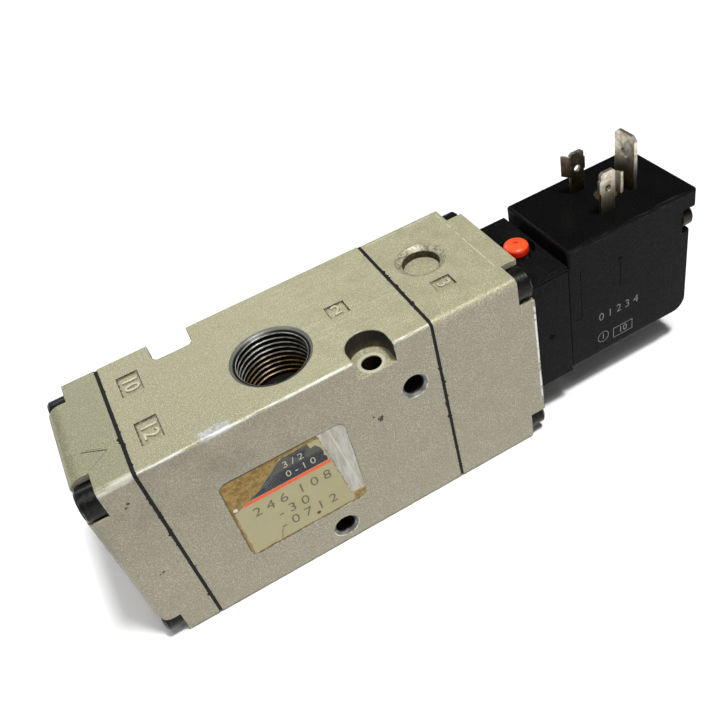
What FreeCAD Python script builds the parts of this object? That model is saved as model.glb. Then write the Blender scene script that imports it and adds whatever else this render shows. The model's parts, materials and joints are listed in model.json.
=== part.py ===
import FreeCAD, Part
import math
import os

# Pilot-operated 3/2 poppet valve with a solenoid pilot. Millimetres.
# +X runs from the end cover to the coil, +Z is up (port A), and the label is on the -Y face.
# The origin is at the middle of the footprint, at the height of the bottom face.

V = FreeCAD.Vector
X_AXIS = V(1, 0, 0)
Y_AXIS = V(0, 1, 0)
Z_AXIS = V(0, 0, 1)

# Lengths of the stack along X
END_COVER_LENGTH = 11.55
GASKET_THICKNESS = 0.7
GASKET_INSET = 0.15
BODY_LENGTH = 61.6
ADAPTER_LENGTH = 23.8
PILOT_GASKET_THICKNESS = 0.3
PILOT_GASKET_INSET = 0.3
PILOT_LENGTH = 11.4
COIL_GAP = 0.7
COIL_HEAD_LENGTH = 36.2

OVERALL_LENGTH = (
    END_COVER_LENGTH + BODY_LENGTH + ADAPTER_LENGTH + 2 * GASKET_THICKNESS
    + PILOT_GASKET_THICKNESS + PILOT_LENGTH + COIL_GAP + COIL_HEAD_LENGTH
)

# Faces of the stack along X
COVER_END = -OVERALL_LENGTH / 2
COVER_FACE = COVER_END + END_COVER_LENGTH
BODY_LEFT = COVER_FACE + GASKET_THICKNESS
BODY_RIGHT = BODY_LEFT + BODY_LENGTH
ADAPTER_LEFT = BODY_RIGHT + GASKET_THICKNESS
ADAPTER_RIGHT = ADAPTER_LEFT + ADAPTER_LENGTH
PILOT_LEFT = ADAPTER_RIGHT + PILOT_GASKET_THICKNESS
PILOT_RIGHT = PILOT_LEFT + PILOT_LENGTH
COIL_LEFT = PILOT_RIGHT + COIL_GAP
COIL_RIGHT = COIL_LEFT + COIL_HEAD_LENGTH

# Cast parts
BODY_HEIGHT = 49.2
HALF_WIDTH = 17.0
AXIS_Z = BODY_HEIGHT / 2
BODY_EDGE_RADIUS = 0.9
OVERRUN = 1.0
WIRE_SIDES = 12

# Screws that hold the end cover and the adapter plate
BOLT_Y = 13.4
BOLT_INSET_Z = 4.5
BOLT_POINTS = [
    (side * BOLT_Y, height)
    for side in (-1, 1)
    for height in (BOLT_INSET_Z, BODY_HEIGHT - BOLT_INSET_Z)
]
BOLT_RADIUS = 2.0
BOLT_HOLE_RADIUS = 2.05
BOLT_HEAD_RADIUS = 3.5
BOLT_HEAD_HEIGHT = 4.0
BOLT_HEAD_RIM = 0.45
BOLT_TIP_CHAMFER = 0.4
BOLT_SOCKET = 3.0
BOLT_SOCKET_DEPTH = 2.2
DRILL_RUN_OUT = 0.6
BOLT_POCKET_RADIUS = 3.8
BOLT_POCKET_WIDTH = 6.0
COVER_BOLT_LENGTH = 16.0
ADAPTER_BOLT_LENGTH = 25.0
COVER_POCKET_DEPTH = 4.55
COVER_POCKET_HEIGHT = 6.7
ADAPTER_POCKET_DEPTH = 3.8
ADAPTER_POCKET_HEIGHT = 7.5

# Working ports: G 3/8 pipe thread as V grooves with flat crests
THREAD_PITCH = 1.337
THREAD_CREST_RADIUS = 7.475
THREAD_ROOT_RADIUS = 8.33
THREAD_FLANK_RISE = (THREAD_ROOT_RADIUS - THREAD_CREST_RADIUS) * math.tan(math.radians(27.5))
THREAD_FLAT = (THREAD_PITCH - 2 * THREAD_FLANK_RISE) / 2
THREAD_RINGS = 9
PORT_MOUTH_RADIUS = 8.75
PORT_CHAMFER = PORT_MOUTH_RADIUS - THREAD_ROOT_RADIUS
PORT_DEPTH = 12.8
PORT_A = (BODY_LEFT + 32.0, -4.0)
PORT_P = (BODY_LEFT + 15.2, 0.0)
PORT_R = (BODY_LEFT + 47.2, 0.0)
PASSAGE_A_RADIUS = 6.0
PASSAGE_RADIUS = 5.5

# Fixing holes of the body
FIXING_RADIUS = 2.15
NOTCH_FLOOR = 44.3
FRONT_FIXING = (BODY_LEFT + 48.85, -14.0)
FRONT_NOTCH_HALF = 4.45
BACK_FIXING = (BODY_LEFT + 15.45, 14.0)
BACK_NOTCH_HALF = 4.45
BACK_NOTCH_EDGE = 10.4
BACK_NOTCH_RADIUS = 2.0
CROSS_RADIUS = 2.3
CROSS_MOUTH_RADIUS = 3.1
CROSS_HOLES = [(BODY_LEFT + 55.7, 35.4), (BODY_LEFT + 32.0, 5.25)]

# Sunk panels that hold the port numbers: centre x, centre y, length, width
NUMBER_PANEL_DEPTH = 0.4
BODY_NUMBER_PANELS = [
    (BODY_LEFT + 5.05, 7.4, 4.5, 6.4),
    (BODY_LEFT + 5.05, -7.7, 4.5, 6.6),
    (BODY_LEFT + 48.7, -0.25, 4.4, 4.1),
]
ADAPTER_NUMBER_PANELS = [(ADAPTER_LEFT + 8.05, -7.5, 4.5, 3.8)]

# Label on the front face
LABEL_LEFT = BODY_LEFT + 11.2
LABEL_LENGTH = 27.7
LABEL_BOTTOM = 11.9
LABEL_HEIGHT = 24.1
LABEL_CORNER = 2.0
LABEL_THICKNESS = 0.12
LABEL_RECESS = 0.16
LABEL_MARGIN = 0.15

# Valve bore, seats and the sliding poppet set
BORE_RADIUS = 7.5
SEAT_RADIUS = 5.2
SEAT_LENGTH = 2.2
SUPPLY_SEAT = BODY_LEFT + 22.9
EXHAUST_SEAT = BODY_LEFT + 38.9
STROKE = 3.0
SEAT_GAP = 0.05
POPPET_RADIUS = 6.6
POPPET_THICKNESS = 2.0
SEAL_FACE_RADIUS = 6.4
SEAL_FACE_THICKNESS = 0.95
SPACER_RADIUS = 3.4
GUIDE_STEM_RADIUS = 3.0
CLAMP_STEM_RADIUS = 2.4
GUIDE_HOLE_RADIUS = 3.04
STEM_LEFT = BODY_LEFT - 4.4
STEM_CHAMFER = 0.5
RETURN_SPRING_RADIUS = 5.6
RETURN_SPRING_WIRE = 0.4
RETURN_SPRING_TURNS = 5
SUPPLY_DISC_LEFT = SUPPLY_SEAT - SEAT_GAP - SEAL_FACE_THICKNESS - POPPET_THICKNESS
SUPPLY_DISC_RIGHT = SUPPLY_DISC_LEFT + POPPET_THICKNESS
EXHAUST_DISC_LEFT = EXHAUST_SEAT + SEAT_LENGTH + STROKE + SEAT_GAP + SEAL_FACE_THICKNESS
EXHAUST_DISC_RIGHT = EXHAUST_DISC_LEFT + POPPET_THICKNESS

# Guide plugs with their O-rings
PLUG_RADIUS = 7.45
SUPPLY_PLUG_RIGHT = BODY_LEFT + 7.6
EXHAUST_PLUG_LEFT = BODY_LEFT + 52.9
EXHAUST_PLUG_RIGHT = BODY_LEFT + 60.0
O_RING_SECTION = 0.89
O_RING_CENTRE_RADIUS = 6.54
O_RING_GROOVE_RADIUS = 5.6
O_RING_GROOVE_WIDTH = 2.3
CIRCLIP_THICKNESS = 1.0
CIRCLIP_OUTER_RADIUS = 8.1
CIRCLIP_INNER_RADIUS = 6.1
CIRCLIP_GROOVE_RADIUS = 8.15
CIRCLIP_GROOVE_WIDTH = 1.1
CIRCLIP_MOUTH_HALF = 2.6

# End cover
COVER_CAVITY_RADIUS = 6.0
COVER_CAVITY_DEPTH = 8.2
COVER_END_RADIUS = 3.0
COVER_EDGE_RADIUS = 1.0

# Adapter plate with the pilot piston
PISTON_BORE_RADIUS = 13.0
PISTON_BORE_DEPTH = 15.3
PISTON_RADIUS = 12.6
PISTON_LEFT = ADAPTER_LEFT + 5.8
PISTON_LENGTH = 5.7
PISTON_SEAL_RADIUS = 12.95
PISTON_SEAL_INNER = 10.85
PISTON_GROOVE_RADIUS = 10.8
PISTON_GROOVE_WIDTH = 2.5
PISTON_SEAL_WIDTH = 2.3
PISTON_RECESS_RADIUS = 9.0
PISTON_RECESS_DEPTH = 1.6
PISTON_HUB_RADIUS = 5.5
PISTON_SEAL_LIP = 0.5
NUT_ACROSS_FLATS = 8.0
NUT_HEIGHT = 2.2
STEM_BEYOND_NUT = 0.5
STEM_RIGHT = PISTON_LEFT + PISTON_LENGTH + NUT_HEIGHT + STEM_BEYOND_NUT
ADAPTER_TOP_RADIUS = 1.5
PILOT_BOSS = (ADAPTER_LEFT + 8.2, 2.6)
PILOT_BOSS_RADIUS = 5.5
PILOT_BOSS_INNER = 4.2
PILOT_BOSS_CHAMFER = 0.9
PILOT_BOSS_DEPTH = 2.6

# Air passages to and from the pilot
FEED_RADIUS = 0.8
FEED_Y = 10.6
FEED_Z = 14.0
FEED_CROSS_X = BODY_LEFT + 19.2
OUTLET_Y = -3.0
OUTLET_Z = 26.2
CHANNEL_HALF = 0.8
CHANNEL_DEPTH = 1.2

# Pilot body with its nozzle and override button
PILOT_HALF_WIDTH = 12.7
PILOT_BOTTOM = 9.1
PILOT_TOP = 41.7
PILOT_EDGE = 0.5
PILOT_RIM_DROP = 0.9
PILOT_RIM_WIDTH = 0.25
PILOT_RIM_DEPTH = 0.25
PILOT_CHAMBER_RADIUS = 4.6
PILOT_CHAMBER_LEFT = PILOT_LEFT + 3.7
NOZZLE_RADIUS = 2.0
NOZZLE_TIP_RADIUS = 1.2
NOZZLE_HOLE_RADIUS = 0.6
NOZZLE_LEFT = PILOT_LEFT + 1.3
NOZZLE_RIGHT = PILOT_CHAMBER_LEFT + 0.35
PILOT_DIMPLE = (PILOT_LEFT + 6.1, 23.9)
PILOT_DIMPLE_RADIUS = 0.9
PILOT_DIMPLE_DEPTH = 0.5
BUTTON_X = PILOT_LEFT + 6.6
BUTTON_RADIUS = 2.9
BUTTON_BOTTOM = 41.0
BUTTON_RIM = 43.0
BUTTON_TOP = 43.6
BUTTON_FOOT_CHAMFER = 0.35
BUTTON_RIM_RADIUS = 0.8
BUTTON_DIMPLE_RADIUS = 0.4
BUTTON_DIMPLE_DEPTH = 0.25
BUTTON_RECESS_RADIUS = 4.3
BUTTON_RECESS_FLOOR = 39.7
BUTTON_STEM_RADIUS = 2.0
BUTTON_STEM_BOTTOM = 31.6
BUTTON_GUIDE_RADIUS = 2.05
BUTTON_GUIDE_BOTTOM = 29.9
BUTTON_BYPASS_RADIUS = 0.5
BUTTON_SPRING_FLOOR = 36.2
BUTTON_SPRING_WELL_RADIUS = 2.95
BUTTON_SPRING_RADIUS = 2.5
BUTTON_SPRING_WIRE = 0.25
BUTTON_SPRING_TURNS = 4
STEM_RING_SECTION = 0.42
STEM_RING_CENTRE_RADIUS = 1.57
STEM_RING_Z = 33.6
STEM_GROOVE_RADIUS = 1.1
STEM_GROOVE_WIDTH = 1.1

# Pilot solenoid
CORE_TUBE_OUTER = 5.4
CORE_TUBE_INNER = 4.6
CORE_FLANGE_RADIUS = 7.5
CORE_FLANGE_THICKNESS = 1.4
CORE_FLANGE_WELL_RADIUS = 7.6
CORE_TUBE_RIGHT = COIL_LEFT + 31.6
ARMATURE_RADIUS = 4.52
ARMATURE_LEFT = PILOT_LEFT + 4.6
ARMATURE_RIGHT = PILOT_LEFT + 25.2
ARMATURE_STROKE = 0.8
AIR_GAP = 0.1
ARMATURE_SEAL_RADIUS = 2.6
ARMATURE_SEAL_THICKNESS = 0.5
ARMATURE_SLOT_WIDTH = 1.2
ARMATURE_SLOT_DEPTH = 0.8
FIXED_CORE_RADIUS = 4.58
FIXED_CORE_LEFT = ARMATURE_RIGHT + ARMATURE_STROKE + AIR_GAP
ARMATURE_SPRING_WELL = 4.0
ARMATURE_SPRING_WELL_RADIUS = 2.6
ARMATURE_SPRING_RADIUS = 2.15
ARMATURE_SPRING_WIRE = 0.25
ARMATURE_SPRING_TURNS = 7
CAVITY_RADIUS = 10.6
CAVITY_LEFT = COIL_LEFT + 1.0
CAVITY_RIGHT = COIL_LEFT + 32.0
WASHER_THICKNESS = 1.5
WASHER_RADIUS = 10.5
WASHER_HOLE_RADIUS = 5.45
SLEEVE_INNER = 9.5
BOBBIN_INNER = 5.5
BOBBIN_WALL = 0.9
BOBBIN_FLANGE_RADIUS = 9.4
BOBBIN_FLANGE_THICKNESS = 1.0
BOBBIN_PLAY = 0.1
WINDING_INNER = 6.45
WINDING_OUTER = 9.0

# Moulded coil housing with the connector head
COIL_HALF_WIDTH = 11.94
COIL_BOTTOM = 8.8
COIL_HEAD_BOTTOM = 40.0
COIL_HEAD_TOP = 44.8
COIL_HEAD_RADIUS = 0.8
COIL_BLOCK_RIGHT = COIL_LEFT + 35.2
COIL_BLOCK_TOP = 33.3
COIL_RECESS_FACE = COIL_LEFT + 32.6
COIL_STEP_X = COIL_LEFT + 29.6
COIL_STEP_DEPTH = 0.3
COIL_END_RADIUS = 1.5
COIL_TOE_RADIUS = 4.0
COIL_DIMPLE = (COIL_LEFT + 14.2, 35.9)
COIL_DIMPLE_RADIUS = 0.6
COIL_DIMPLE_DEPTH = 0.3
COIL_LINE_BOTTOM = 27.9
LINE_HALF = 0.1
LINE_DEPTH = 0.15
PANEL_LINE_X = COIL_LEFT + 3.1
PANEL_LINE_TOP = 38.0
PANEL_LINE_BOTTOM = 24.0
PANEL_LINE_LEFT = COIL_LEFT + 1.1

# Connector blades and insert
BLADE_BOTTOM = 37.8
LINE_BLADE_X = COIL_LEFT + 15.85
LINE_BLADE_Y = 5.5
LINE_BLADE_HALF_WIDTH = 1.85
LINE_BLADE_HALF_THICKNESS = 0.4
LINE_BLADE_TOP = 55.4
LINE_BLADE_CORNER = 0.5
LINE_HOLE_Z = 51.1
LINE_HOLE_RADIUS = 0.85
EAR_BOTTOM = 49.3
EAR_TOP = 54.6
EAR_REACH_X = 0.6
EAR_REACH_Y = 1.3
EAR_THICKNESS = 0.65
BUMP_BOTTOM = 50.3
BUMP_TOP = 53.4
BUMP_REACH = 0.35
EARTH_BLADE_LEFT = COIL_LEFT + 25.15
EARTH_BLADE_THICKNESS = 0.9
EARTH_BLADE_HALF_WIDTH = 3.35
EARTH_BLADE_TOP = 58.35
EARTH_BLADE_CORNER = 1.05
EARTH_DETENT_Z = 53.4
EARTH_DETENT_RADIUS = 1.2
EARTH_DETENT_INNER = 0.75
EARTH_DETENT_DEPTH = 0.55
INSERT_X = COIL_LEFT + 19.7
INSERT_RADIUS = 2.65
INSERT_BOTTOM = 37.8
INSERT_HOLE_RADIUS = 1.25
INSERT_MOUTH_RADIUS = 1.8

# Long screws that clamp the coil and the pilot body to the adapter plate
LONG_SCREW_Y = 9.2
LONG_SCREW_Z = 36.7
LONG_SCREW_RADIUS = 1.5
LONG_SCREW_HOLE_RADIUS = 1.6
LONG_SCREW_LENGTH = 50.0
LONG_SCREW_SEAT = COIL_RECESS_FACE + SEAT_GAP
LONG_SCREW_EDGE = 0.4
LONG_SCREW_HEAD_RADIUS = 2.75
LONG_SCREW_HEAD_HEIGHT = 3.0
LONG_SCREW_SLOT_HALF = 0.45
LONG_SCREW_SLOT_DEPTH = 1.2
LONG_SCREW_HEAD_CLEARANCE = 0.15


# Shared shapes

def block(x0, x1, y0, y1, z0, z1):
    return Part.makeBox(x1 - x0, y1 - y0, z1 - z0, V(x0, y0, z0))


def x_rod(radius, x0, x1, y=0.0, z=AXIS_Z):
    return Part.makeCylinder(radius, x1 - x0, V(x0, y, z), X_AXIS)


def y_rod(radius, y0, y1, x, z):
    return Part.makeCylinder(radius, y1 - y0, V(x, y0, z), Y_AXIS)


def z_rod(radius, z0, z1, x, y):
    return Part.makeCylinder(radius, z1 - z0, V(x, y, z0), Z_AXIS)


def x_tube(outer, inner, x0, x1, y=0.0, z=AXIS_Z):
    hole = x_rod(inner, x0 - OVERRUN, x1 + OVERRUN, y, z)
    return x_rod(outer, x0, x1, y, z).cut(hole)


def turned_about_x(profile, y=0.0, z=AXIS_Z):
    """Solid of revolution about an X line; the profile is a list of (x, radius)."""
    points = [V(x, y, z + radius) for x, radius in profile]
    face = Part.Face(Part.makePolygon(points + points[:1]))
    return face.revolve(V(0, y, z), X_AXIS, 360)


def turned_about_z(profile, x, y):
    """Solid of revolution about a Z line; the profile is a list of (radius, z)."""
    points = [V(x + radius, y, height) for radius, height in profile]
    face = Part.Face(Part.makePolygon(points + points[:1]))
    return face.revolve(V(x, y, 0), Z_AXIS, 360)


def prism(outline, z0, z1):
    """Upright prism over a list of (x, y) points."""
    points = [V(x, y, z0) for x, y in outline]
    face = Part.Face(Part.makePolygon(points + points[:1]))
    return face.extrude(V(0, 0, z1 - z0))


def hex_socket(across_flats, x0, x1, y, z):
    """Hexagonal prism along X."""
    corner = across_flats / math.sqrt(3)
    points = []
    for step in range(6):
        angle = math.radians(60 * step)
        points.append(V(x0, y + corner * math.cos(angle), z + corner * math.sin(angle)))
    face = Part.Face(Part.makePolygon(points + points[:1]))
    return face.extrude(V(x1 - x0, 0, 0))


def coil_spring(mean_radius, wire_radius, turns, start, length, axis):
    """Open helix that fills the given length, with a small gap at both ends.

    The wire has a section of many flat sides, so that every face of it is a plain helical strip.
    """
    end_gap = wire_radius + SEAT_GAP
    rise = length - 2 * end_gap
    helix = Part.makeHelix(rise / turns, rise, mean_radius)
    points = []
    for side in range(WIRE_SIDES):
        angle = 2 * math.pi * (side + 0.5) / WIRE_SIDES
        points.append(V(mean_radius + wire_radius * math.cos(angle), 0, wire_radius * math.sin(angle)))
    section = Part.makePolygon(points + points[:1])
    wire = Part.Wire(helix.Edges).makePipeShell([section], True, True)
    wire.translate(V(0, 0, end_gap))
    wire.Placement = FreeCAD.Placement(start, FreeCAD.Rotation(Z_AXIS, axis)).multiply(wire.Placement)
    return wire


def edges_along(shape, axis, keep=lambda centre: True):
    """Straight edges parallel to the axis whose centre passes the test."""
    found = []
    for edge in shape.Edges:
        direction = edge.Vertexes[-1].Point.sub(edge.Vertexes[0].Point)
        straight = edge.Curve.TypeId == "Part::GeomLine"
        if straight and direction.cross(axis).Length < 1e-6 and keep(edge.CenterOfMass):
            found.append(edge)
    return found


def rims_at(shape, height):
    """Edges whose centre is at the given height."""
    return [edge for edge in shape.Edges if abs(edge.CenterOfMass.z - height) < 1e-6]


def bolt_pockets(x_floor, x_open, height):
    """Corner pockets of a plate: a square step and a round clearance around each head."""
    x0 = min(x_floor, x_open)
    x1 = max(x_floor, x_open)
    cutters = []
    for y, z in BOLT_POINTS:
        side = math.copysign(1, y)
        y_inner = side * (HALF_WIDTH - BOLT_POCKET_WIDTH)
        y_outer = side * (HALF_WIDTH + OVERRUN)
        if z > AXIS_Z:
            z0, z1 = BODY_HEIGHT - height, BODY_HEIGHT + OVERRUN
        else:
            z0, z1 = -OVERRUN, height
        cutters.append(block(x0, x1, min(y_inner, y_outer), max(y_inner, y_outer), z0, z1))
        cutters.append(x_rod(BOLT_POCKET_RADIUS, x0, x1, y, z))
    return cutters


def socket_screw(x_seat, direction, length, y, z):
    """Socket head screw whose head seat is at x_seat and whose thread points along direction."""
    head_top = x_seat - direction * BOLT_HEAD_HEIGHT
    tip = x_seat + direction * length
    screw = turned_about_x([
        (head_top, 0),
        (head_top, BOLT_HEAD_RADIUS - BOLT_HEAD_RIM),
        (head_top + direction * BOLT_HEAD_RIM, BOLT_HEAD_RADIUS),
        (x_seat, BOLT_HEAD_RADIUS),
        (x_seat, BOLT_RADIUS),
        (tip - direction * BOLT_TIP_CHAMFER, BOLT_RADIUS),
        (tip, BOLT_RADIUS - BOLT_TIP_CHAMFER),
        (tip, 0),
    ], y, z)
    socket_floor = head_top + direction * BOLT_SOCKET_DEPTH
    return screw.cut(hex_socket(BOLT_SOCKET, head_top - direction * OVERRUN, socket_floor, y, z))


def threaded_port(x, y, z_mouth, inward):
    """Cutter for a threaded port; inward is -1 for a port in the top face and +1 in the bottom face."""
    profile = [(0, -OVERRUN), (PORT_MOUTH_RADIUS, -OVERRUN), (PORT_MOUTH_RADIUS, 0)]
    profile.append((THREAD_ROOT_RADIUS, PORT_CHAMFER))
    depth = PORT_CHAMFER
    for _ in range(THREAD_RINGS):
        depth += THREAD_FLANK_RISE
        profile.append((THREAD_CREST_RADIUS, depth))
        depth += THREAD_FLAT
        profile.append((THREAD_CREST_RADIUS, depth))
        depth += THREAD_FLANK_RISE
        profile.append((THREAD_ROOT_RADIUS, depth))
        depth += THREAD_FLAT
        profile.append((THREAD_ROOT_RADIUS, depth))
    profile[-1] = (THREAD_ROOT_RADIUS, PORT_DEPTH)
    profile.append((0, PORT_DEPTH))
    return turned_about_z([(radius, z_mouth + inward * deep) for radius, deep in profile], x, y)


def number_panel(centre_x, centre_y, length, width):
    x0 = centre_x - length / 2
    y0 = centre_y - width / 2
    return block(x0, x0 + length, y0, y0 + width, BODY_HEIGHT - NUMBER_PANEL_DEPTH, BODY_HEIGHT + OVERRUN)


# Cast body and plates

def make_main_body():
    body = block(BODY_LEFT, BODY_RIGHT, -HALF_WIDTH, HALF_WIDTH, 0, BODY_HEIGHT)
    body = body.makeFillet(BODY_EDGE_RADIUS, edges_along(body, X_AXIS))
    exhaust_end = EXHAUST_SEAT + SEAT_LENGTH
    cutters = [
        x_rod(BORE_RADIUS, BODY_LEFT - OVERRUN, SUPPLY_SEAT),
        x_rod(SEAT_RADIUS, SUPPLY_SEAT - OVERRUN, exhaust_end + OVERRUN),
        x_rod(BORE_RADIUS, SUPPLY_SEAT + SEAT_LENGTH, EXHAUST_SEAT),
        x_rod(BORE_RADIUS, exhaust_end, BODY_RIGHT + OVERRUN),
        x_rod(CIRCLIP_GROOVE_RADIUS, EXHAUST_PLUG_RIGHT, EXHAUST_PLUG_RIGHT + CIRCLIP_GROOVE_WIDTH),
        threaded_port(*PORT_A, BODY_HEIGHT, -1),
        threaded_port(*PORT_P, 0, 1),
        threaded_port(*PORT_R, 0, 1),
        z_rod(PASSAGE_A_RADIUS, AXIS_Z, BODY_HEIGHT - PORT_DEPTH + OVERRUN, *PORT_A),
        z_rod(PASSAGE_RADIUS, PORT_DEPTH - OVERRUN, AXIS_Z, *PORT_P),
        z_rod(PASSAGE_RADIUS, PORT_DEPTH - OVERRUN, AXIS_Z, *PORT_R),
        y_rod(FEED_RADIUS, 0, FEED_Y, FEED_CROSS_X, FEED_Z),
        x_rod(FEED_RADIUS, FEED_CROSS_X, BODY_RIGHT + OVERRUN, FEED_Y, FEED_Z),
    ]
    cutters += fixing_cutters()
    cutters += [number_panel(*panel) for panel in BODY_NUMBER_PANELS]
    cutters.append(label_sheet(LABEL_MARGIN, LABEL_RECESS, OVERRUN))
    cover_drill = COVER_END + COVER_POCKET_DEPTH + COVER_BOLT_LENGTH + DRILL_RUN_OUT
    adapter_drill = ADAPTER_RIGHT - ADAPTER_POCKET_DEPTH - ADAPTER_BOLT_LENGTH - DRILL_RUN_OUT
    for y, z in BOLT_POINTS:
        cutters.append(x_rod(BOLT_HOLE_RADIUS, BODY_LEFT - OVERRUN, cover_drill, y, z))
        cutters.append(x_rod(BOLT_HOLE_RADIUS, adapter_drill, BODY_RIGHT + OVERRUN, y, z))
    return body.cut(cutters)


def fixing_cutters():
    """Notches and holes that fasten the body down or to a panel."""
    top = BODY_HEIGHT + OVERRUN
    front_x, front_y = FRONT_FIXING
    back_x, back_y = BACK_FIXING
    front_left = front_x - FRONT_NOTCH_HALF
    front_right = front_x + FRONT_NOTCH_HALF
    back_left = back_x - BACK_NOTCH_HALF
    back_right = back_x + BACK_NOTCH_HALF
    back_notch = block(back_left, back_right, BACK_NOTCH_EDGE, HALF_WIDTH + OVERRUN, NOTCH_FLOOR, top)
    inner_corners = edges_along(back_notch, Z_AXIS, lambda c: abs(c.y - BACK_NOTCH_EDGE) < 1e-6)
    cutters = [
        block(front_left, front_right, -HALF_WIDTH - OVERRUN, front_y, NOTCH_FLOOR, top),
        z_rod(FRONT_NOTCH_HALF, NOTCH_FLOOR, top, front_x, front_y),
        back_notch.makeFillet(BACK_NOTCH_RADIUS, inner_corners),
        z_rod(FIXING_RADIUS, -OVERRUN, top, front_x, front_y),
        z_rod(FIXING_RADIUS, -OVERRUN, top, back_x, back_y),
    ]
    mouth = CROSS_MOUTH_RADIUS - CROSS_RADIUS
    for x, z in CROSS_HOLES:
        cutters.append(y_rod(CROSS_RADIUS, -HALF_WIDTH - OVERRUN, HALF_WIDTH + OVERRUN, x, z))
        for side in (-1, 1):
            face = V(x, side * HALF_WIDTH, z)
            cone = Part.makeCone(CROSS_MOUTH_RADIUS, CROSS_RADIUS, mouth, face, V(0, -side, 0))
            cutters.append(cone)
    return cutters


def label_sheet(margin, depth, proud):
    """Rounded plate on the front face, sunk by depth and proud of the face by the given amount."""
    plate = block(
        LABEL_LEFT - margin, LABEL_LEFT + LABEL_LENGTH + margin,
        -HALF_WIDTH - proud, -HALF_WIDTH + depth,
        LABEL_BOTTOM - margin, LABEL_BOTTOM + LABEL_HEIGHT + margin,
    )
    return plate.makeFillet(LABEL_CORNER, edges_along(plate, Y_AXIS))


def make_rating_label():
    return label_sheet(0, LABEL_RECESS, LABEL_THICKNESS - LABEL_RECESS)


def make_end_cover():
    side = block(COVER_END, COVER_FACE, -HALF_WIDTH, HALF_WIDTH, 0, BODY_HEIGHT)
    long_ends = edges_along(side, Y_AXIS, lambda c: c.x < COVER_END + 1e-6)
    cover = side.makeFillet(COVER_END_RADIUS, long_ends)
    tall_ends = edges_along(side, Z_AXIS, lambda c: c.x < COVER_END + 1e-6)
    cover = cover.common(side.makeFillet(COVER_END_RADIUS, tall_ends))
    pocket_floor = COVER_END + COVER_POCKET_DEPTH
    cover = cover.cut(bolt_pockets(pocket_floor, COVER_END - OVERRUN, COVER_POCKET_HEIGHT))
    long_edges = edges_along(
        cover, X_AXIS,
        lambda c: abs(abs(c.y) - HALF_WIDTH) < 1e-6 and min(c.z, BODY_HEIGHT - c.z) < 1e-6,
    )
    cover = cover.makeFillet(COVER_EDGE_RADIUS, long_edges)
    cutters = [x_rod(COVER_CAVITY_RADIUS, COVER_FACE - COVER_CAVITY_DEPTH, COVER_FACE + OVERRUN)]
    for y, z in BOLT_POINTS:
        cutters.append(x_rod(BOLT_HOLE_RADIUS, COVER_END - OVERRUN, COVER_FACE + OVERRUN, y, z))
    return cover.cut(cutters)


def make_adapter_plate():
    plate = block(ADAPTER_LEFT, ADAPTER_RIGHT, -HALF_WIDTH, HALF_WIDTH, 0, BODY_HEIGHT)
    top_edges = edges_along(plate, X_AXIS, lambda c: c.z > AXIS_Z)
    plate = plate.makeFillet(ADAPTER_TOP_RADIUS, top_edges)
    bottom_edges = edges_along(
        plate, X_AXIS, lambda c: c.z < 1e-6 and abs(abs(c.y) - HALF_WIDTH) < 1e-6)
    plate = plate.makeFillet(BODY_EDGE_RADIUS, bottom_edges)
    pocket_floor = ADAPTER_RIGHT - ADAPTER_POCKET_DEPTH
    boss_x, boss_y = PILOT_BOSS
    boss_floor = BODY_HEIGHT - PILOT_BOSS_DEPTH
    bore_end = ADAPTER_LEFT + PISTON_BORE_DEPTH
    cutters = bolt_pockets(pocket_floor, ADAPTER_RIGHT + OVERRUN, ADAPTER_POCKET_HEIGHT)
    cutters += [
        x_rod(PISTON_BORE_RADIUS, ADAPTER_LEFT - OVERRUN, bore_end),
        x_rod(FEED_RADIUS, ADAPTER_LEFT - OVERRUN, ADAPTER_RIGHT + OVERRUN, FEED_Y, FEED_Z),
        x_rod(FEED_RADIUS, bore_end - OVERRUN, ADAPTER_RIGHT + OVERRUN, OUTLET_Y, OUTLET_Z),
        turned_about_z([
            (0, BODY_HEIGHT + OVERRUN),
            (PILOT_BOSS_RADIUS, BODY_HEIGHT + OVERRUN),
            (PILOT_BOSS_RADIUS, BODY_HEIGHT),
            (PILOT_BOSS_INNER, BODY_HEIGHT - PILOT_BOSS_CHAMFER),
            (PILOT_BOSS_INNER, boss_floor),
            (0, boss_floor),
        ], boss_x, boss_y),
    ]
    cutters += [number_panel(*panel) for panel in ADAPTER_NUMBER_PANELS]
    for y, z in BOLT_POINTS:
        cutters.append(x_rod(BOLT_HOLE_RADIUS, ADAPTER_LEFT - OVERRUN, ADAPTER_RIGHT, y, z))
    screw_drill = LONG_SCREW_SEAT - LONG_SCREW_LENGTH - DRILL_RUN_OUT
    for side in (-1, 1):
        cutters.append(x_rod(
            LONG_SCREW_HOLE_RADIUS, screw_drill, ADAPTER_RIGHT + OVERRUN, side * LONG_SCREW_Y, LONG_SCREW_Z))
    return plate.cut(cutters)


def make_gasket(x0, hole_radius, with_feed):
    """Flat gasket with the outline of the body end."""
    sheet = block(
        x0, x0 + GASKET_THICKNESS, -HALF_WIDTH + GASKET_INSET, HALF_WIDTH - GASKET_INSET,
        GASKET_INSET, BODY_HEIGHT - GASKET_INSET)
    sheet = sheet.makeFillet(BODY_EDGE_RADIUS, edges_along(sheet, X_AXIS))
    cutters = [x_rod(hole_radius, x0 - OVERRUN, x0 + GASKET_THICKNESS + OVERRUN)]
    if with_feed:
        cutters.append(x_rod(FEED_RADIUS, x0 - OVERRUN, x0 + GASKET_THICKNESS + OVERRUN, FEED_Y, FEED_Z))
    for y, z in BOLT_POINTS:
        cutters.append(x_rod(BOLT_HOLE_RADIUS, x0 - OVERRUN, x0 + GASKET_THICKNESS + OVERRUN, y, z))
    return sheet.cut(cutters)


def make_end_cover_screws():
    seat = COVER_END + COVER_POCKET_DEPTH
    return [socket_screw(seat, 1, COVER_BOLT_LENGTH, y, z) for y, z in BOLT_POINTS]


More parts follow.
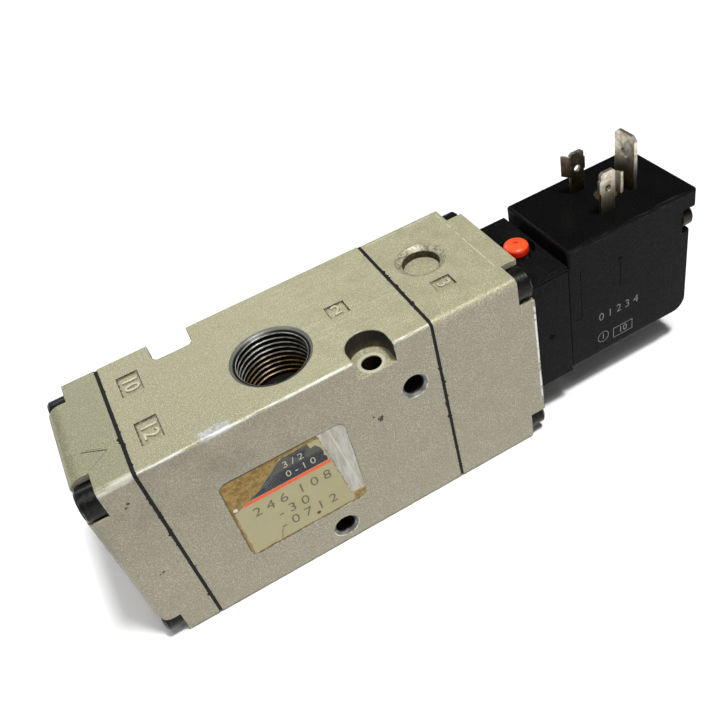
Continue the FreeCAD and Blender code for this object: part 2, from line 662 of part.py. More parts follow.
def make_adapter_screws():
    seat = ADAPTER_RIGHT - ADAPTER_POCKET_DEPTH
    return [socket_screw(seat, -1, ADAPTER_BOLT_LENGTH, y, z) for y, z in BOLT_POINTS]


# Guides and seals fixed in the bore

def guide_plug(x0, x1):
    plug = x_rod(PLUG_RADIUS, x0, x1)
    middle = (x0 + x1) / 2
    groove_left = middle - O_RING_GROOVE_WIDTH / 2
    groove = x_tube(
        PLUG_RADIUS + OVERRUN, O_RING_GROOVE_RADIUS, groove_left, groove_left + O_RING_GROOVE_WIDTH)
    return plug.cut([groove, x_rod(GUIDE_HOLE_RADIUS, x0 - OVERRUN, x1 + OVERRUN)])


def plug_o_ring(x0, x1):
    return Part.makeTorus(O_RING_CENTRE_RADIUS, O_RING_SECTION, V((x0 + x1) / 2, 0, AXIS_Z), X_AXIS)


def make_guide_plug_o_rings():
    return [
        plug_o_ring(COVER_FACE, SUPPLY_PLUG_RIGHT),
        plug_o_ring(EXHAUST_PLUG_LEFT, EXHAUST_PLUG_RIGHT),
    ]


def make_plug_retaining_ring():
    x0 = EXHAUST_PLUG_RIGHT + SEAT_GAP
    x1 = x0 + CIRCLIP_THICKNESS
    ring = x_tube(CIRCLIP_OUTER_RADIUS, CIRCLIP_INNER_RADIUS, x0, x1)
    gap = block(
        x0 - OVERRUN, x1 + OVERRUN, -CIRCLIP_MOUTH_HALF, CIRCLIP_MOUTH_HALF,
        AXIS_Z - CIRCLIP_OUTER_RADIUS - OVERRUN, AXIS_Z)
    return ring.cut(gap)


# Sliding poppet set

def make_valve_stem():
    return turned_about_x([
        (STEM_LEFT, 0),
        (STEM_LEFT, GUIDE_STEM_RADIUS - STEM_CHAMFER),
        (STEM_LEFT + STEM_CHAMFER, GUIDE_STEM_RADIUS),
        (SUPPLY_DISC_LEFT, GUIDE_STEM_RADIUS),
        (SUPPLY_DISC_LEFT, CLAMP_STEM_RADIUS),
        (STEM_RIGHT - STEM_CHAMFER, CLAMP_STEM_RADIUS),
        (STEM_RIGHT, CLAMP_STEM_RADIUS - STEM_CHAMFER),
        (STEM_RIGHT, 0),
    ])


def make_supply_poppet():
    return x_tube(POPPET_RADIUS, CLAMP_STEM_RADIUS, SUPPLY_DISC_LEFT, SUPPLY_DISC_RIGHT)


def make_supply_poppet_seal():
    return x_tube(
        SEAL_FACE_RADIUS, SPACER_RADIUS, SUPPLY_DISC_RIGHT, SUPPLY_DISC_RIGHT + SEAL_FACE_THICKNESS)


def make_poppet_spacer():
    return x_tube(SPACER_RADIUS, CLAMP_STEM_RADIUS, SUPPLY_DISC_RIGHT, EXHAUST_DISC_LEFT)


def make_exhaust_poppet_seal():
    return x_tube(
        SEAL_FACE_RADIUS, SPACER_RADIUS, EXHAUST_DISC_LEFT - SEAL_FACE_THICKNESS, EXHAUST_DISC_LEFT)


def make_exhaust_poppet():
    return x_tube(POPPET_RADIUS, CLAMP_STEM_RADIUS, EXHAUST_DISC_LEFT, EXHAUST_DISC_RIGHT)


def make_guide_sleeve():
    return x_tube(GUIDE_STEM_RADIUS, CLAMP_STEM_RADIUS, EXHAUST_DISC_RIGHT, PISTON_LEFT)


def make_return_spring():
    return coil_spring(
        RETURN_SPRING_RADIUS, RETURN_SPRING_WIRE, RETURN_SPRING_TURNS,
        V(SUPPLY_PLUG_RIGHT, 0, AXIS_Z), SUPPLY_DISC_LEFT - SUPPLY_PLUG_RIGHT, X_AXIS)


def make_pilot_piston():
    right = PISTON_LEFT + PISTON_LENGTH
    piston = x_tube(PISTON_RADIUS, CLAMP_STEM_RADIUS, PISTON_LEFT, right)
    groove_left = (PISTON_LEFT + right - PISTON_GROOVE_WIDTH) / 2
    groove = x_tube(
        PISTON_RADIUS + OVERRUN, PISTON_GROOVE_RADIUS, groove_left, groove_left + PISTON_GROOVE_WIDTH)
    dish = x_tube(
        PISTON_RECESS_RADIUS, PISTON_HUB_RADIUS, PISTON_LEFT - OVERRUN, PISTON_LEFT + PISTON_RECESS_DEPTH)
    return piston.cut([groove, dish])


def make_piston_seal():
    left = PISTON_LEFT + (PISTON_LENGTH - PISTON_SEAL_WIDTH) / 2
    right = left + PISTON_SEAL_WIDTH
    return turned_about_x([
        (left, PISTON_SEAL_INNER),
        (left, PISTON_SEAL_RADIUS - PISTON_SEAL_LIP),
        (left + PISTON_SEAL_LIP, PISTON_SEAL_RADIUS),
        (right - PISTON_SEAL_LIP, PISTON_SEAL_RADIUS),
        (right, PISTON_SEAL_RADIUS - PISTON_SEAL_LIP),
        (right, PISTON_SEAL_INNER),
    ])


def make_piston_nut():
    left = PISTON_LEFT + PISTON_LENGTH
    nut = hex_socket(NUT_ACROSS_FLATS, left, left + NUT_HEIGHT, 0, AXIS_Z)
    return nut.cut(x_rod(CLAMP_STEM_RADIUS, left - OVERRUN, left + NUT_HEIGHT + OVERRUN))


# Pilot body and override

def make_pilot_gasket():
    half_width = PILOT_HALF_WIDTH - PILOT_GASKET_INSET
    sheet = block(
        ADAPTER_RIGHT, PILOT_LEFT, -half_width, half_width,
        PILOT_BOTTOM + PILOT_GASKET_INSET, PILOT_TOP - PILOT_GASKET_INSET)
    holes = [(FEED_RADIUS, FEED_Y, FEED_Z), (FEED_RADIUS, OUTLET_Y, OUTLET_Z)]
    holes += [(LONG_SCREW_HOLE_RADIUS, side * LONG_SCREW_Y, LONG_SCREW_Z) for side in (-1, 1)]
    cutters = [
        x_rod(radius, ADAPTER_RIGHT - OVERRUN, PILOT_LEFT + OVERRUN, y, z) for radius, y, z in holes]
    return sheet.cut(cutters)


def feed_channel():
    """Groove in the face of the pilot body, from the feed hole to the nozzle."""
    run_y = FEED_Y
    run_z = FEED_Z - AXIS_Z
    length = math.hypot(run_y, run_z)
    channel = Part.makeBox(
        CHANNEL_DEPTH + OVERRUN, length, 2 * CHANNEL_HALF, V(-OVERRUN, 0, -CHANNEL_HALF))
    channel.rotate(V(0, 0, 0), X_AXIS, math.degrees(math.atan2(run_z, run_y)))
    channel.translate(V(PILOT_LEFT, 0, AXIS_Z))
    return channel


def make_pilot_body():
    body = block(
        PILOT_LEFT, PILOT_RIGHT, -PILOT_HALF_WIDTH, PILOT_HALF_WIDTH, PILOT_BOTTOM, PILOT_TOP)
    body = body.makeChamfer(PILOT_EDGE, edges_along(body, X_AXIS))
    flange_floor = PILOT_RIGHT - CORE_FLANGE_THICKNESS
    cutters = [
        x_rod(PILOT_CHAMBER_RADIUS, PILOT_CHAMBER_LEFT, PILOT_RIGHT + OVERRUN),
        x_rod(CORE_FLANGE_WELL_RADIUS, flange_floor, PILOT_RIGHT + OVERRUN),
        x_rod(NOZZLE_RADIUS, NOZZLE_LEFT, PILOT_CHAMBER_LEFT + OVERRUN),
        x_rod(NOZZLE_HOLE_RADIUS, PILOT_LEFT, NOZZLE_LEFT + OVERRUN),
        x_rod(FEED_RADIUS, PILOT_LEFT - OVERRUN, PILOT_LEFT + CHANNEL_DEPTH, FEED_Y, FEED_Z),
        x_rod(FEED_RADIUS, PILOT_LEFT - OVERRUN, PILOT_CHAMBER_LEFT + OVERRUN, OUTLET_Y, OUTLET_Z),
        feed_channel(),
        z_rod(BUTTON_RECESS_RADIUS, BUTTON_RECESS_FLOOR, PILOT_TOP + OVERRUN, BUTTON_X, 0),
        z_rod(BUTTON_SPRING_WELL_RADIUS, BUTTON_SPRING_FLOOR, PILOT_TOP, BUTTON_X, 0),
        z_rod(BUTTON_GUIDE_RADIUS, BUTTON_GUIDE_BOTTOM, PILOT_TOP, BUTTON_X, 0),
        z_rod(BUTTON_BYPASS_RADIUS, AXIS_Z, BUTTON_GUIDE_BOTTOM + OVERRUN, BUTTON_X, 0),
    ]
    dimple_x, dimple_z = PILOT_DIMPLE
    rim_top = PILOT_TOP - PILOT_RIM_DROP
    for side in (-1, 1):
        face = side * PILOT_HALF_WIDTH
        deep = side * (PILOT_HALF_WIDTH - PILOT_RIM_DEPTH)
        proud = side * (PILOT_HALF_WIDTH + OVERRUN)
        cutters.append(block(
            PILOT_LEFT - OVERRUN, PILOT_RIGHT + OVERRUN, min(deep, proud), max(deep, proud),
            rim_top - PILOT_RIM_WIDTH, rim_top))
        cutters.append(Part.makeCone(
            PILOT_DIMPLE_RADIUS, PILOT_DIMPLE_RADIUS / 3, PILOT_DIMPLE_DEPTH,
            V(dimple_x, face, dimple_z), V(0, -side, 0)))
        cutters.append(x_rod(
            LONG_SCREW_HOLE_RADIUS, PILOT_LEFT - OVERRUN, PILOT_RIGHT + OVERRUN,
            side * LONG_SCREW_Y, LONG_SCREW_Z))
    return body.cut(cutters)


def make_pilot_nozzle():
    nozzle = turned_about_x([
        (NOZZLE_LEFT, NOZZLE_HOLE_RADIUS),
        (NOZZLE_LEFT, NOZZLE_RADIUS),
        (PILOT_CHAMBER_LEFT, NOZZLE_RADIUS),
        (NOZZLE_RIGHT, NOZZLE_TIP_RADIUS),
        (NOZZLE_RIGHT, NOZZLE_HOLE_RADIUS),
    ])
    return nozzle


def make_override_button():
    """Round domed cap with a small centre mark, in one piece with its stem."""
    dome_height = BUTTON_TOP - BUTTON_RIM
    dome_radius = (BUTTON_RADIUS ** 2 + dome_height ** 2) / (2 * dome_height)
    sphere = Part.makeSphere(dome_radius, V(BUTTON_X, 0, BUTTON_TOP - dome_radius))
    cap = z_rod(BUTTON_RADIUS, BUTTON_BOTTOM, BUTTON_TOP, BUTTON_X, 0)
    cap = cap.makeChamfer(BUTTON_FOOT_CHAMFER, rims_at(cap, BUTTON_BOTTOM)).common(sphere)
    cap = cap.makeFillet(BUTTON_RIM_RADIUS, rims_at(cap, BUTTON_RIM))
    dimple = z_rod(
        BUTTON_DIMPLE_RADIUS, BUTTON_TOP - BUTTON_DIMPLE_DEPTH, BUTTON_TOP + OVERRUN, BUTTON_X, 0)
    stem = z_rod(BUTTON_STEM_RADIUS, BUTTON_STEM_BOTTOM, BUTTON_BOTTOM + OVERRUN, BUTTON_X, 0)
    groove_bottom = STEM_RING_Z - STEM_GROOVE_WIDTH / 2
    groove_top = groove_bottom + STEM_GROOVE_WIDTH
    groove = z_rod(BUTTON_STEM_RADIUS + OVERRUN, groove_bottom, groove_top, BUTTON_X, 0)
    groove = groove.cut(z_rod(STEM_GROOVE_RADIUS, groove_bottom, groove_top, BUTTON_X, 0))
    return cap.fuse(stem).cut([dimple, groove])


def make_override_o_ring():
    return Part.makeTorus(STEM_RING_CENTRE_RADIUS, STEM_RING_SECTION, V(BUTTON_X, 0, STEM_RING_Z), Z_AXIS)


def make_override_spring():
    return coil_spring(
        BUTTON_SPRING_RADIUS, BUTTON_SPRING_WIRE, BUTTON_SPRING_TURNS,
        V(BUTTON_X, 0, BUTTON_SPRING_FLOOR), BUTTON_BOTTOM - BUTTON_SPRING_FLOOR, Z_AXIS)


# Solenoid

def make_core_tube():
    flange_left = PILOT_RIGHT - CORE_FLANGE_THICKNESS
    tube = x_rod(CORE_TUBE_OUTER, flange_left, CORE_TUBE_RIGHT)
    flange = x_rod(CORE_FLANGE_RADIUS, flange_left, PILOT_RIGHT)
    return tube.fuse(flange).cut(x_rod(CORE_TUBE_INNER, flange_left - OVERRUN, CORE_TUBE_RIGHT + OVERRUN))


def make_armature():
    armature = x_rod(ARMATURE_RADIUS, ARMATURE_LEFT, ARMATURE_RIGHT)
    cutters = [
        x_rod(ARMATURE_SPRING_WELL_RADIUS, ARMATURE_RIGHT - ARMATURE_SPRING_WELL, ARMATURE_RIGHT + OVERRUN)]
    slot_half = ARMATURE_SLOT_WIDTH / 2
    slot_floor = ARMATURE_RADIUS - ARMATURE_SLOT_DEPTH
    for side in (-1, 1):
        y0 = min(side * slot_floor, side * (ARMATURE_RADIUS + OVERRUN))
        y1 = max(side * slot_floor, side * (ARMATURE_RADIUS + OVERRUN))
        cutters.append(block(
            ARMATURE_LEFT - OVERRUN, ARMATURE_RIGHT + OVERRUN, y0, y1,
            AXIS_Z - slot_half, AXIS_Z + slot_half))
    return armature.cut(cutters)


def make_armature_seal():
    return x_rod(ARMATURE_SEAL_RADIUS, ARMATURE_LEFT - ARMATURE_SEAL_THICKNESS, ARMATURE_LEFT)


def make_fixed_core():
    core = x_rod(FIXED_CORE_RADIUS, FIXED_CORE_LEFT, CORE_TUBE_RIGHT)
    well_end = FIXED_CORE_LEFT + ARMATURE_SPRING_WELL
    return core.cut(x_rod(ARMATURE_SPRING_WELL_RADIUS, FIXED_CORE_LEFT - OVERRUN, well_end))


def make_armature_spring():
    left = ARMATURE_RIGHT - ARMATURE_SPRING_WELL
    right = FIXED_CORE_LEFT + ARMATURE_SPRING_WELL
    return coil_spring(
        ARMATURE_SPRING_RADIUS, ARMATURE_SPRING_WIRE, ARMATURE_SPRING_TURNS,
        V(left, 0, AXIS_Z), right - left, X_AXIS)


def make_yoke_washers():
    return [
        x_tube(WASHER_RADIUS, WASHER_HOLE_RADIUS, left, left + WASHER_THICKNESS)
        for left in (CAVITY_LEFT, CAVITY_RIGHT - WASHER_THICKNESS)
    ]


def make_yoke_sleeve():
    return x_tube(
        WASHER_RADIUS, SLEEVE_INNER, CAVITY_LEFT + WASHER_THICKNESS, CAVITY_RIGHT - WASHER_THICKNESS)


def bobbin_ends():
    left = CAVITY_LEFT + WASHER_THICKNESS + BOBBIN_PLAY
    right = CAVITY_RIGHT - WASHER_THICKNESS - BOBBIN_PLAY
    return left, right


def make_coil_bobbin():
    left, right = bobbin_ends()
    bobbin = x_rod(BOBBIN_INNER + BOBBIN_WALL, left, right)
    for x0 in (left, right - BOBBIN_FLANGE_THICKNESS):
        bobbin = bobbin.fuse(x_rod(BOBBIN_FLANGE_RADIUS, x0, x0 + BOBBIN_FLANGE_THICKNESS))
    return bobbin.cut(x_rod(BOBBIN_INNER, left - OVERRUN, right + OVERRUN))


def make_coil_winding():
    left, right = bobbin_ends()
    return x_tube(
        WINDING_OUTER, WINDING_INNER, left + BOBBIN_FLANGE_THICKNESS, right - BOBBIN_FLANGE_THICKNESS)


def side_line(x0, x1, z0, z1, side):
    """Fine groove in a side face of the coil housing."""
    deep = side * (COIL_HALF_WIDTH - LINE_DEPTH)
    proud = side * (COIL_HALF_WIDTH + OVERRUN)
    return block(x0, x1, min(deep, proud), max(deep, proud), z0, z1)


def coil_side_marks(side):
    """Ejector dimple, parting line and panel line of one side face."""
    dimple_x, dimple_z = COIL_DIMPLE
    face = V(dimple_x, side * COIL_HALF_WIDTH, dimple_z)
    dimple = Part.makeCone(
        COIL_DIMPLE_RADIUS, COIL_DIMPLE_RADIUS / 2, COIL_DIMPLE_DEPTH, face, V(0, -side, 0))
    return [
        dimple,
        side_line(dimple_x - LINE_HALF, dimple_x + LINE_HALF, COIL_LINE_BOTTOM, dimple_z, side),
        side_line(
            PANEL_LINE_X - LINE_HALF, PANEL_LINE_X + LINE_HALF, PANEL_LINE_BOTTOM, PANEL_LINE_TOP, side),
        side_line(
            PANEL_LINE_LEFT, PANEL_LINE_X,
            PANEL_LINE_BOTTOM - LINE_HALF, PANEL_LINE_BOTTOM + LINE_HALF, side),
    ]


def make_coil_housing():
    lower = block(
        COIL_LEFT, COIL_BLOCK_RIGHT, -COIL_HALF_WIDTH, COIL_HALF_WIDTH, COIL_BOTTOM, COIL_BLOCK_TOP)
    toe = edges_along(lower, Y_AXIS, lambda c: c.x > COIL_LEFT + OVERRUN and c.z < AXIS_Z)
    lower = lower.makeFillet(COIL_TOE_RADIUS, toe)
    end_edges = edges_along(lower, Z_AXIS, lambda c: c.x > COIL_BLOCK_RIGHT - 1e-6)
    lower = lower.makeFillet(COIL_END_RADIUS, end_edges)
    upper = block(
        COIL_LEFT, COIL_RECESS_FACE, -COIL_HALF_WIDTH, COIL_HALF_WIDTH, COIL_BLOCK_TOP, COIL_HEAD_BOTTOM)
    shank = lower.fuse(upper).removeSplitter()
    step_y = COIL_HALF_WIDTH - COIL_STEP_DEPTH
    for side in (-1, 1):
        y0 = min(side * step_y, side * (COIL_HALF_WIDTH + OVERRUN))
        y1 = max(side * step_y, side * (COIL_HALF_WIDTH + OVERRUN))
        shank = shank.cut(block(
            COIL_STEP_X, COIL_RIGHT, y0, y1, COIL_BOTTOM - OVERRUN, COIL_HEAD_BOTTOM))
    head = block(COIL_LEFT, COIL_RIGHT, -COIL_HALF_WIDTH, COIL_HALF_WIDTH, COIL_HEAD_BOTTOM, COIL_HEAD_TOP)
    head_edges = edges_along(head, Z_AXIS) + rims_at(head, COIL_HEAD_TOP)
    head = head.makeFillet(COIL_HEAD_RADIUS, head_edges)
    housing = shank.fuse(head).removeSplitter()
    cutters = [
        x_rod(CAVITY_RADIUS, CAVITY_LEFT, CAVITY_RIGHT),
        x_rod(WASHER_HOLE_RADIUS, COIL_LEFT - OVERRUN, CAVITY_LEFT + OVERRUN),
        z_rod(INSERT_RADIUS, INSERT_BOTTOM, COIL_HEAD_TOP + OVERRUN, INSERT_X, 0),
        earth_strip(COIL_HEAD_TOP + OVERRUN),
    ]
    for side in (-1, 1):
        cutters.append(line_strip(side, COIL_HEAD_TOP + OVERRUN))
        cutters.append(x_rod(
            LONG_SCREW_HOLE_RADIUS, COIL_LEFT - OVERRUN, COIL_RECESS_FACE + OVERRUN,
            side * LONG_SCREW_Y, LONG_SCREW_Z))
        cutters.append(x_rod(
            LONG_SCREW_HEAD_RADIUS + LONG_SCREW_HEAD_CLEARANCE, COIL_RECESS_FACE, COIL_RIGHT,
            side * LONG_SCREW_Y, LONG_SCREW_Z))
        cutters += coil_side_marks(side)
    return housing.cut(cutters)


# Connector

def line_strip(side, top):
    """Flat strip of a line blade, from its root up to the given height."""
    return block(
        LINE_BLADE_X - LINE_BLADE_HALF_WIDTH, LINE_BLADE_X + LINE_BLADE_HALF_WIDTH,
        side * LINE_BLADE_Y - LINE_BLADE_HALF_THICKNESS, side * LINE_BLADE_Y + LINE_BLADE_HALF_THICKNESS,
        BLADE_BOTTOM, top)


def earth_strip(top):
    return block(
        EARTH_BLADE_LEFT, EARTH_BLADE_LEFT + EARTH_BLADE_THICKNESS,
        -EARTH_BLADE_HALF_WIDTH, EARTH_BLADE_HALF_WIDTH, BLADE_BOTTOM, top)


def line_blade(side):
    """Line blade with one folded ear; the two blades are turned copies of each other."""
    blade = line_strip(1, LINE_BLADE_TOP)
    top_corners = edges_along(blade, Y_AXIS, lambda c: c.z > LINE_BLADE_TOP - 1e-6)
    blade = blade.makeChamfer(LINE_BLADE_CORNER, top_corners)
    left = LINE_BLADE_X - LINE_BLADE_HALF_WIDTH
    right = LINE_BLADE_X + LINE_BLADE_HALF_WIDTH
    inner = LINE_BLADE_Y - LINE_BLADE_HALF_THICKNESS
    outer = LINE_BLADE_Y + LINE_BLADE_HALF_THICKNESS
    ear = prism([
        (left, inner),
        (left, outer),
        (left - EAR_REACH_X, outer + EAR_REACH_Y),
        (left - EAR_REACH_X - EAR_THICKNESS, outer + EAR_REACH_Y),
    ], EAR_BOTTOM, EAR_TOP)
    bump = block(right - OVERRUN, right + BUMP_REACH, inner, outer, BUMP_BOTTOM, BUMP_TOP)
    hole = y_rod(LINE_HOLE_RADIUS, inner - OVERRUN, outer + OVERRUN, LINE_BLADE_X, LINE_HOLE_Z)
    blade = blade.fuse([ear, bump]).removeSplitter().cut(hole)
    if side < 0:
        blade.rotate(V(LINE_BLADE_X, 0, 0), Z_AXIS, 180)
    return blade


def make_line_terminals():
    return [line_blade(1), line_blade(-1)]


def make_earth_terminal():
    blade = earth_strip(EARTH_BLADE_TOP)
    top_corners = edges_along(blade, X_AXIS, lambda c: c.z > EARTH_BLADE_TOP - 1e-6)
    blade = blade.makeChamfer(EARTH_BLADE_CORNER, top_corners)
    detent = Part.makeCone(
        EARTH_DETENT_RADIUS, EARTH_DETENT_INNER, EARTH_DETENT_DEPTH,
        V(EARTH_BLADE_LEFT, 0, EARTH_DETENT_Z), X_AXIS)
    return blade.cut(detent)


def make_connector_insert():
    """Brass insert with a round hole for the screw that holds the plug."""
    mouth = INSERT_MOUTH_RADIUS - INSERT_HOLE_RADIUS
    return turned_about_z([
        (INSERT_HOLE_RADIUS, INSERT_BOTTOM),
        (INSERT_RADIUS, INSERT_BOTTOM),
        (INSERT_RADIUS, COIL_HEAD_TOP),
        (INSERT_MOUTH_RADIUS, COIL_HEAD_TOP),
        (INSERT_HOLE_RADIUS, COIL_HEAD_TOP - mouth),
    ], INSERT_X, 0)


# Long screws

def long_screw(y):
    head_top = LONG_SCREW_SEAT + LONG_SCREW_HEAD_HEIGHT
    tip = LONG_SCREW_SEAT - LONG_SCREW_LENGTH
    screw = turned_about_x([
        (head_top, 0),
        (head_top, LONG_SCREW_HEAD_RADIUS - LONG_SCREW_EDGE),
        (head_top - LONG_SCREW_EDGE, LONG_SCREW_HEAD_RADIUS),
        (LONG_SCREW_SEAT, LONG_SCREW_HEAD_RADIUS),
        (LONG_SCREW_SEAT, LONG_SCREW_RADIUS),
        (tip + LONG_SCREW_EDGE, LONG_SCREW_RADIUS),
        (tip, LONG_SCREW_RADIUS - LONG_SCREW_EDGE),
        (tip, 0),
    ], y, LONG_SCREW_Z)
    slot = block(
        head_top - LONG_SCREW_SLOT_DEPTH, head_top + OVERRUN,
        y - LONG_SCREW_SLOT_HALF, y + LONG_SCREW_SLOT_HALF,
        LONG_SCREW_Z - LONG_SCREW_HEAD_RADIUS, LONG_SCREW_Z + LONG_SCREW_HEAD_RADIUS)
    return screw.cut(slot)


def make_pilot_screws():
    return [long_screw(side * LONG_SCREW_Y) for side in (-1, 1)]


NODES = {
    "main_body": make_main_body,
    "end_cover": make_end_cover,
    "end_cover_gasket": lambda: make_gasket(COVER_FACE, BORE_RADIUS + 0.05, False),
    "end_cover_screws": make_end_cover_screws,
    "adapter_plate": make_adapter_plate,
    "adapter_gasket": lambda: make_gasket(BODY_RIGHT, CIRCLIP_GROOVE_RADIUS, True),
    "adapter_screws": make_adapter_screws,
    "rating_label": make_rating_label,
    "supply_guide_plug": lambda: guide_plug(COVER_FACE, SUPPLY_PLUG_RIGHT),
    "exhaust_guide_plug": lambda: guide_plug(EXHAUST_PLUG_LEFT, EXHAUST_PLUG_RIGHT),
    "guide_plug_o_rings": make_guide_plug_o_rings,
    "plug_retaining_ring": make_plug_retaining_ring,
    "valve_stem": make_valve_stem,
    "supply_poppet": make_supply_poppet,
    "supply_poppet_seal": make_supply_poppet_seal,
    "poppet_spacer": make_poppet_spacer,
    "exhaust_poppet_seal": make_exhaust_poppet_seal,
    "exhaust_poppet": make_exhaust_poppet,
    "guide_sleeve": make_guide_sleeve,
    "return_spring": make_return_spring,
    "pilot_piston": make_pilot_piston,
    "piston_seal": make_piston_seal,
    "piston_nut": make_piston_nut,
    "pilot_gasket": make_pilot_gasket,
    "pilot_body": make_pilot_body,
    "pilot_nozzle": make_pilot_nozzle,
    "override_button": make_override_button,
    "override_o_ring": make_override_o_ring,
    "override_spring": make_override_spring,
    "core_tube": make_core_tube,
    "armature": make_armature,
    "armature_seal": make_armature_seal,
    "armature_spring": make_armature_spring,
    "fixed_core": make_fixed_core,
    "yoke_washers": make_yoke_washers,
    "yoke_sleeve": make_yoke_sleeve,
    "coil_bobbin": make_coil_bobbin,
    "coil_winding": make_coil_winding,
    "coil_housing": make_coil_housing,
    "line_terminals": make_line_terminals,
    "earth_terminal": make_earth_terminal,
    "connector_insert": make_connector_insert,
    "pilot_screws": make_pilot_screws,
}


def as_shape(made):
    """One solid, or a group of separate solids that share a node."""
    if isinstance(made, list):
        return Part.makeCompound(made)
    return made.Solids[0] if len(made.Solids) == 1 else made


def main():
    os.makedirs("parts", exist_ok=True)
    for name, make in NODES.items():
        as_shape(make()).exportStep(f"parts/{name}.step")


main()
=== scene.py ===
import bpy
import bmesh
import json
import math
import random
from mathutils import Matrix, Vector


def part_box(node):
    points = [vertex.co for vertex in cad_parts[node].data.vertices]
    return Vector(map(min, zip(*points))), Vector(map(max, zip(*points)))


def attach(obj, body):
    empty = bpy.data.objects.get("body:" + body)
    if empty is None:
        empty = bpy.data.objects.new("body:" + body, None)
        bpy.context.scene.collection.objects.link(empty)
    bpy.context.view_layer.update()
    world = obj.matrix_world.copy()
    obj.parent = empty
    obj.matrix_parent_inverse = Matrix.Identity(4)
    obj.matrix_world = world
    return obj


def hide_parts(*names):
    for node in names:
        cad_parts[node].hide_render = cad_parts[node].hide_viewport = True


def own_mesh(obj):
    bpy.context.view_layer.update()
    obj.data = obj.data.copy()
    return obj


# Solenoid directional valve on a white ground. Metres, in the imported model's frame.

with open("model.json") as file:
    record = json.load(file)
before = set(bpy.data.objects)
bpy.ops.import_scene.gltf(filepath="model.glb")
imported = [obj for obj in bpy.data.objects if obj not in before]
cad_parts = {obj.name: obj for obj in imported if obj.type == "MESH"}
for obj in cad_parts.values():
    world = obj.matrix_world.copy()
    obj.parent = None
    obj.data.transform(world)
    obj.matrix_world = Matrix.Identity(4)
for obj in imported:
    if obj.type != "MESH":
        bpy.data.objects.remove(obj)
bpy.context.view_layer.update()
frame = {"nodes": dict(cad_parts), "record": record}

NODES = frame["nodes"]
MM = 0.001


def corners(node):
    """Lowest and highest corner of a CAD node, in millimetres."""
    low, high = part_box(node)
    return low / MM, high / MM


BODY_LOW, BODY_HIGH = corners("main_body")
COVER_LOW, COVER_HIGH = corners("end_cover")
ADAPTER_LOW, ADAPTER_HIGH = corners("adapter_plate")
COIL_LOW, COIL_HIGH = corners("coil_housing")
LABEL_LOW = corners("rating_label")[0]
BUTTON_LOW, BUTTON_HIGH = corners("override_button")
MOUNTS = {mount["name"]: mount for mount in frame["record"]["mounts"]}
AXIS_Z = BODY_HIGH.z / 2


def mount_point(name):
    return Vector(MOUNTS[name]["pos_m"]) / MM


PORT_MOUTH = 8.75
PORT_DEPTH = 12.8
THREAD_CREST = MOUNTS["port_a"]["dims"]["r_mm"]
NOTCH_FLOOR = 44.3
NOTCH_REACH = 4.75
CROSS_RIM = 3.18
CROSS_WELL = 2.54
BOSS_CENTRE = (ADAPTER_LOW.x + 8.2, 2.6, 0)
BOSS_RADIUS = 5.5
BOSS_BORE = 4.2
# Sunk number panels: middle and half lengths along x and y
PANELS = (
    (BODY_LOW.x + 5.05, 7.4, 2.25, 3.2), (BODY_LOW.x + 5.05, -7.7, 2.25, 3.3),
    (BODY_LOW.x + 48.7, -0.25, 2.2, 2.05))
ADAPTER_PANELS = ((ADAPTER_LOW.x + 8.05, -7.5, 2.25, 1.9),)


# Node helpers

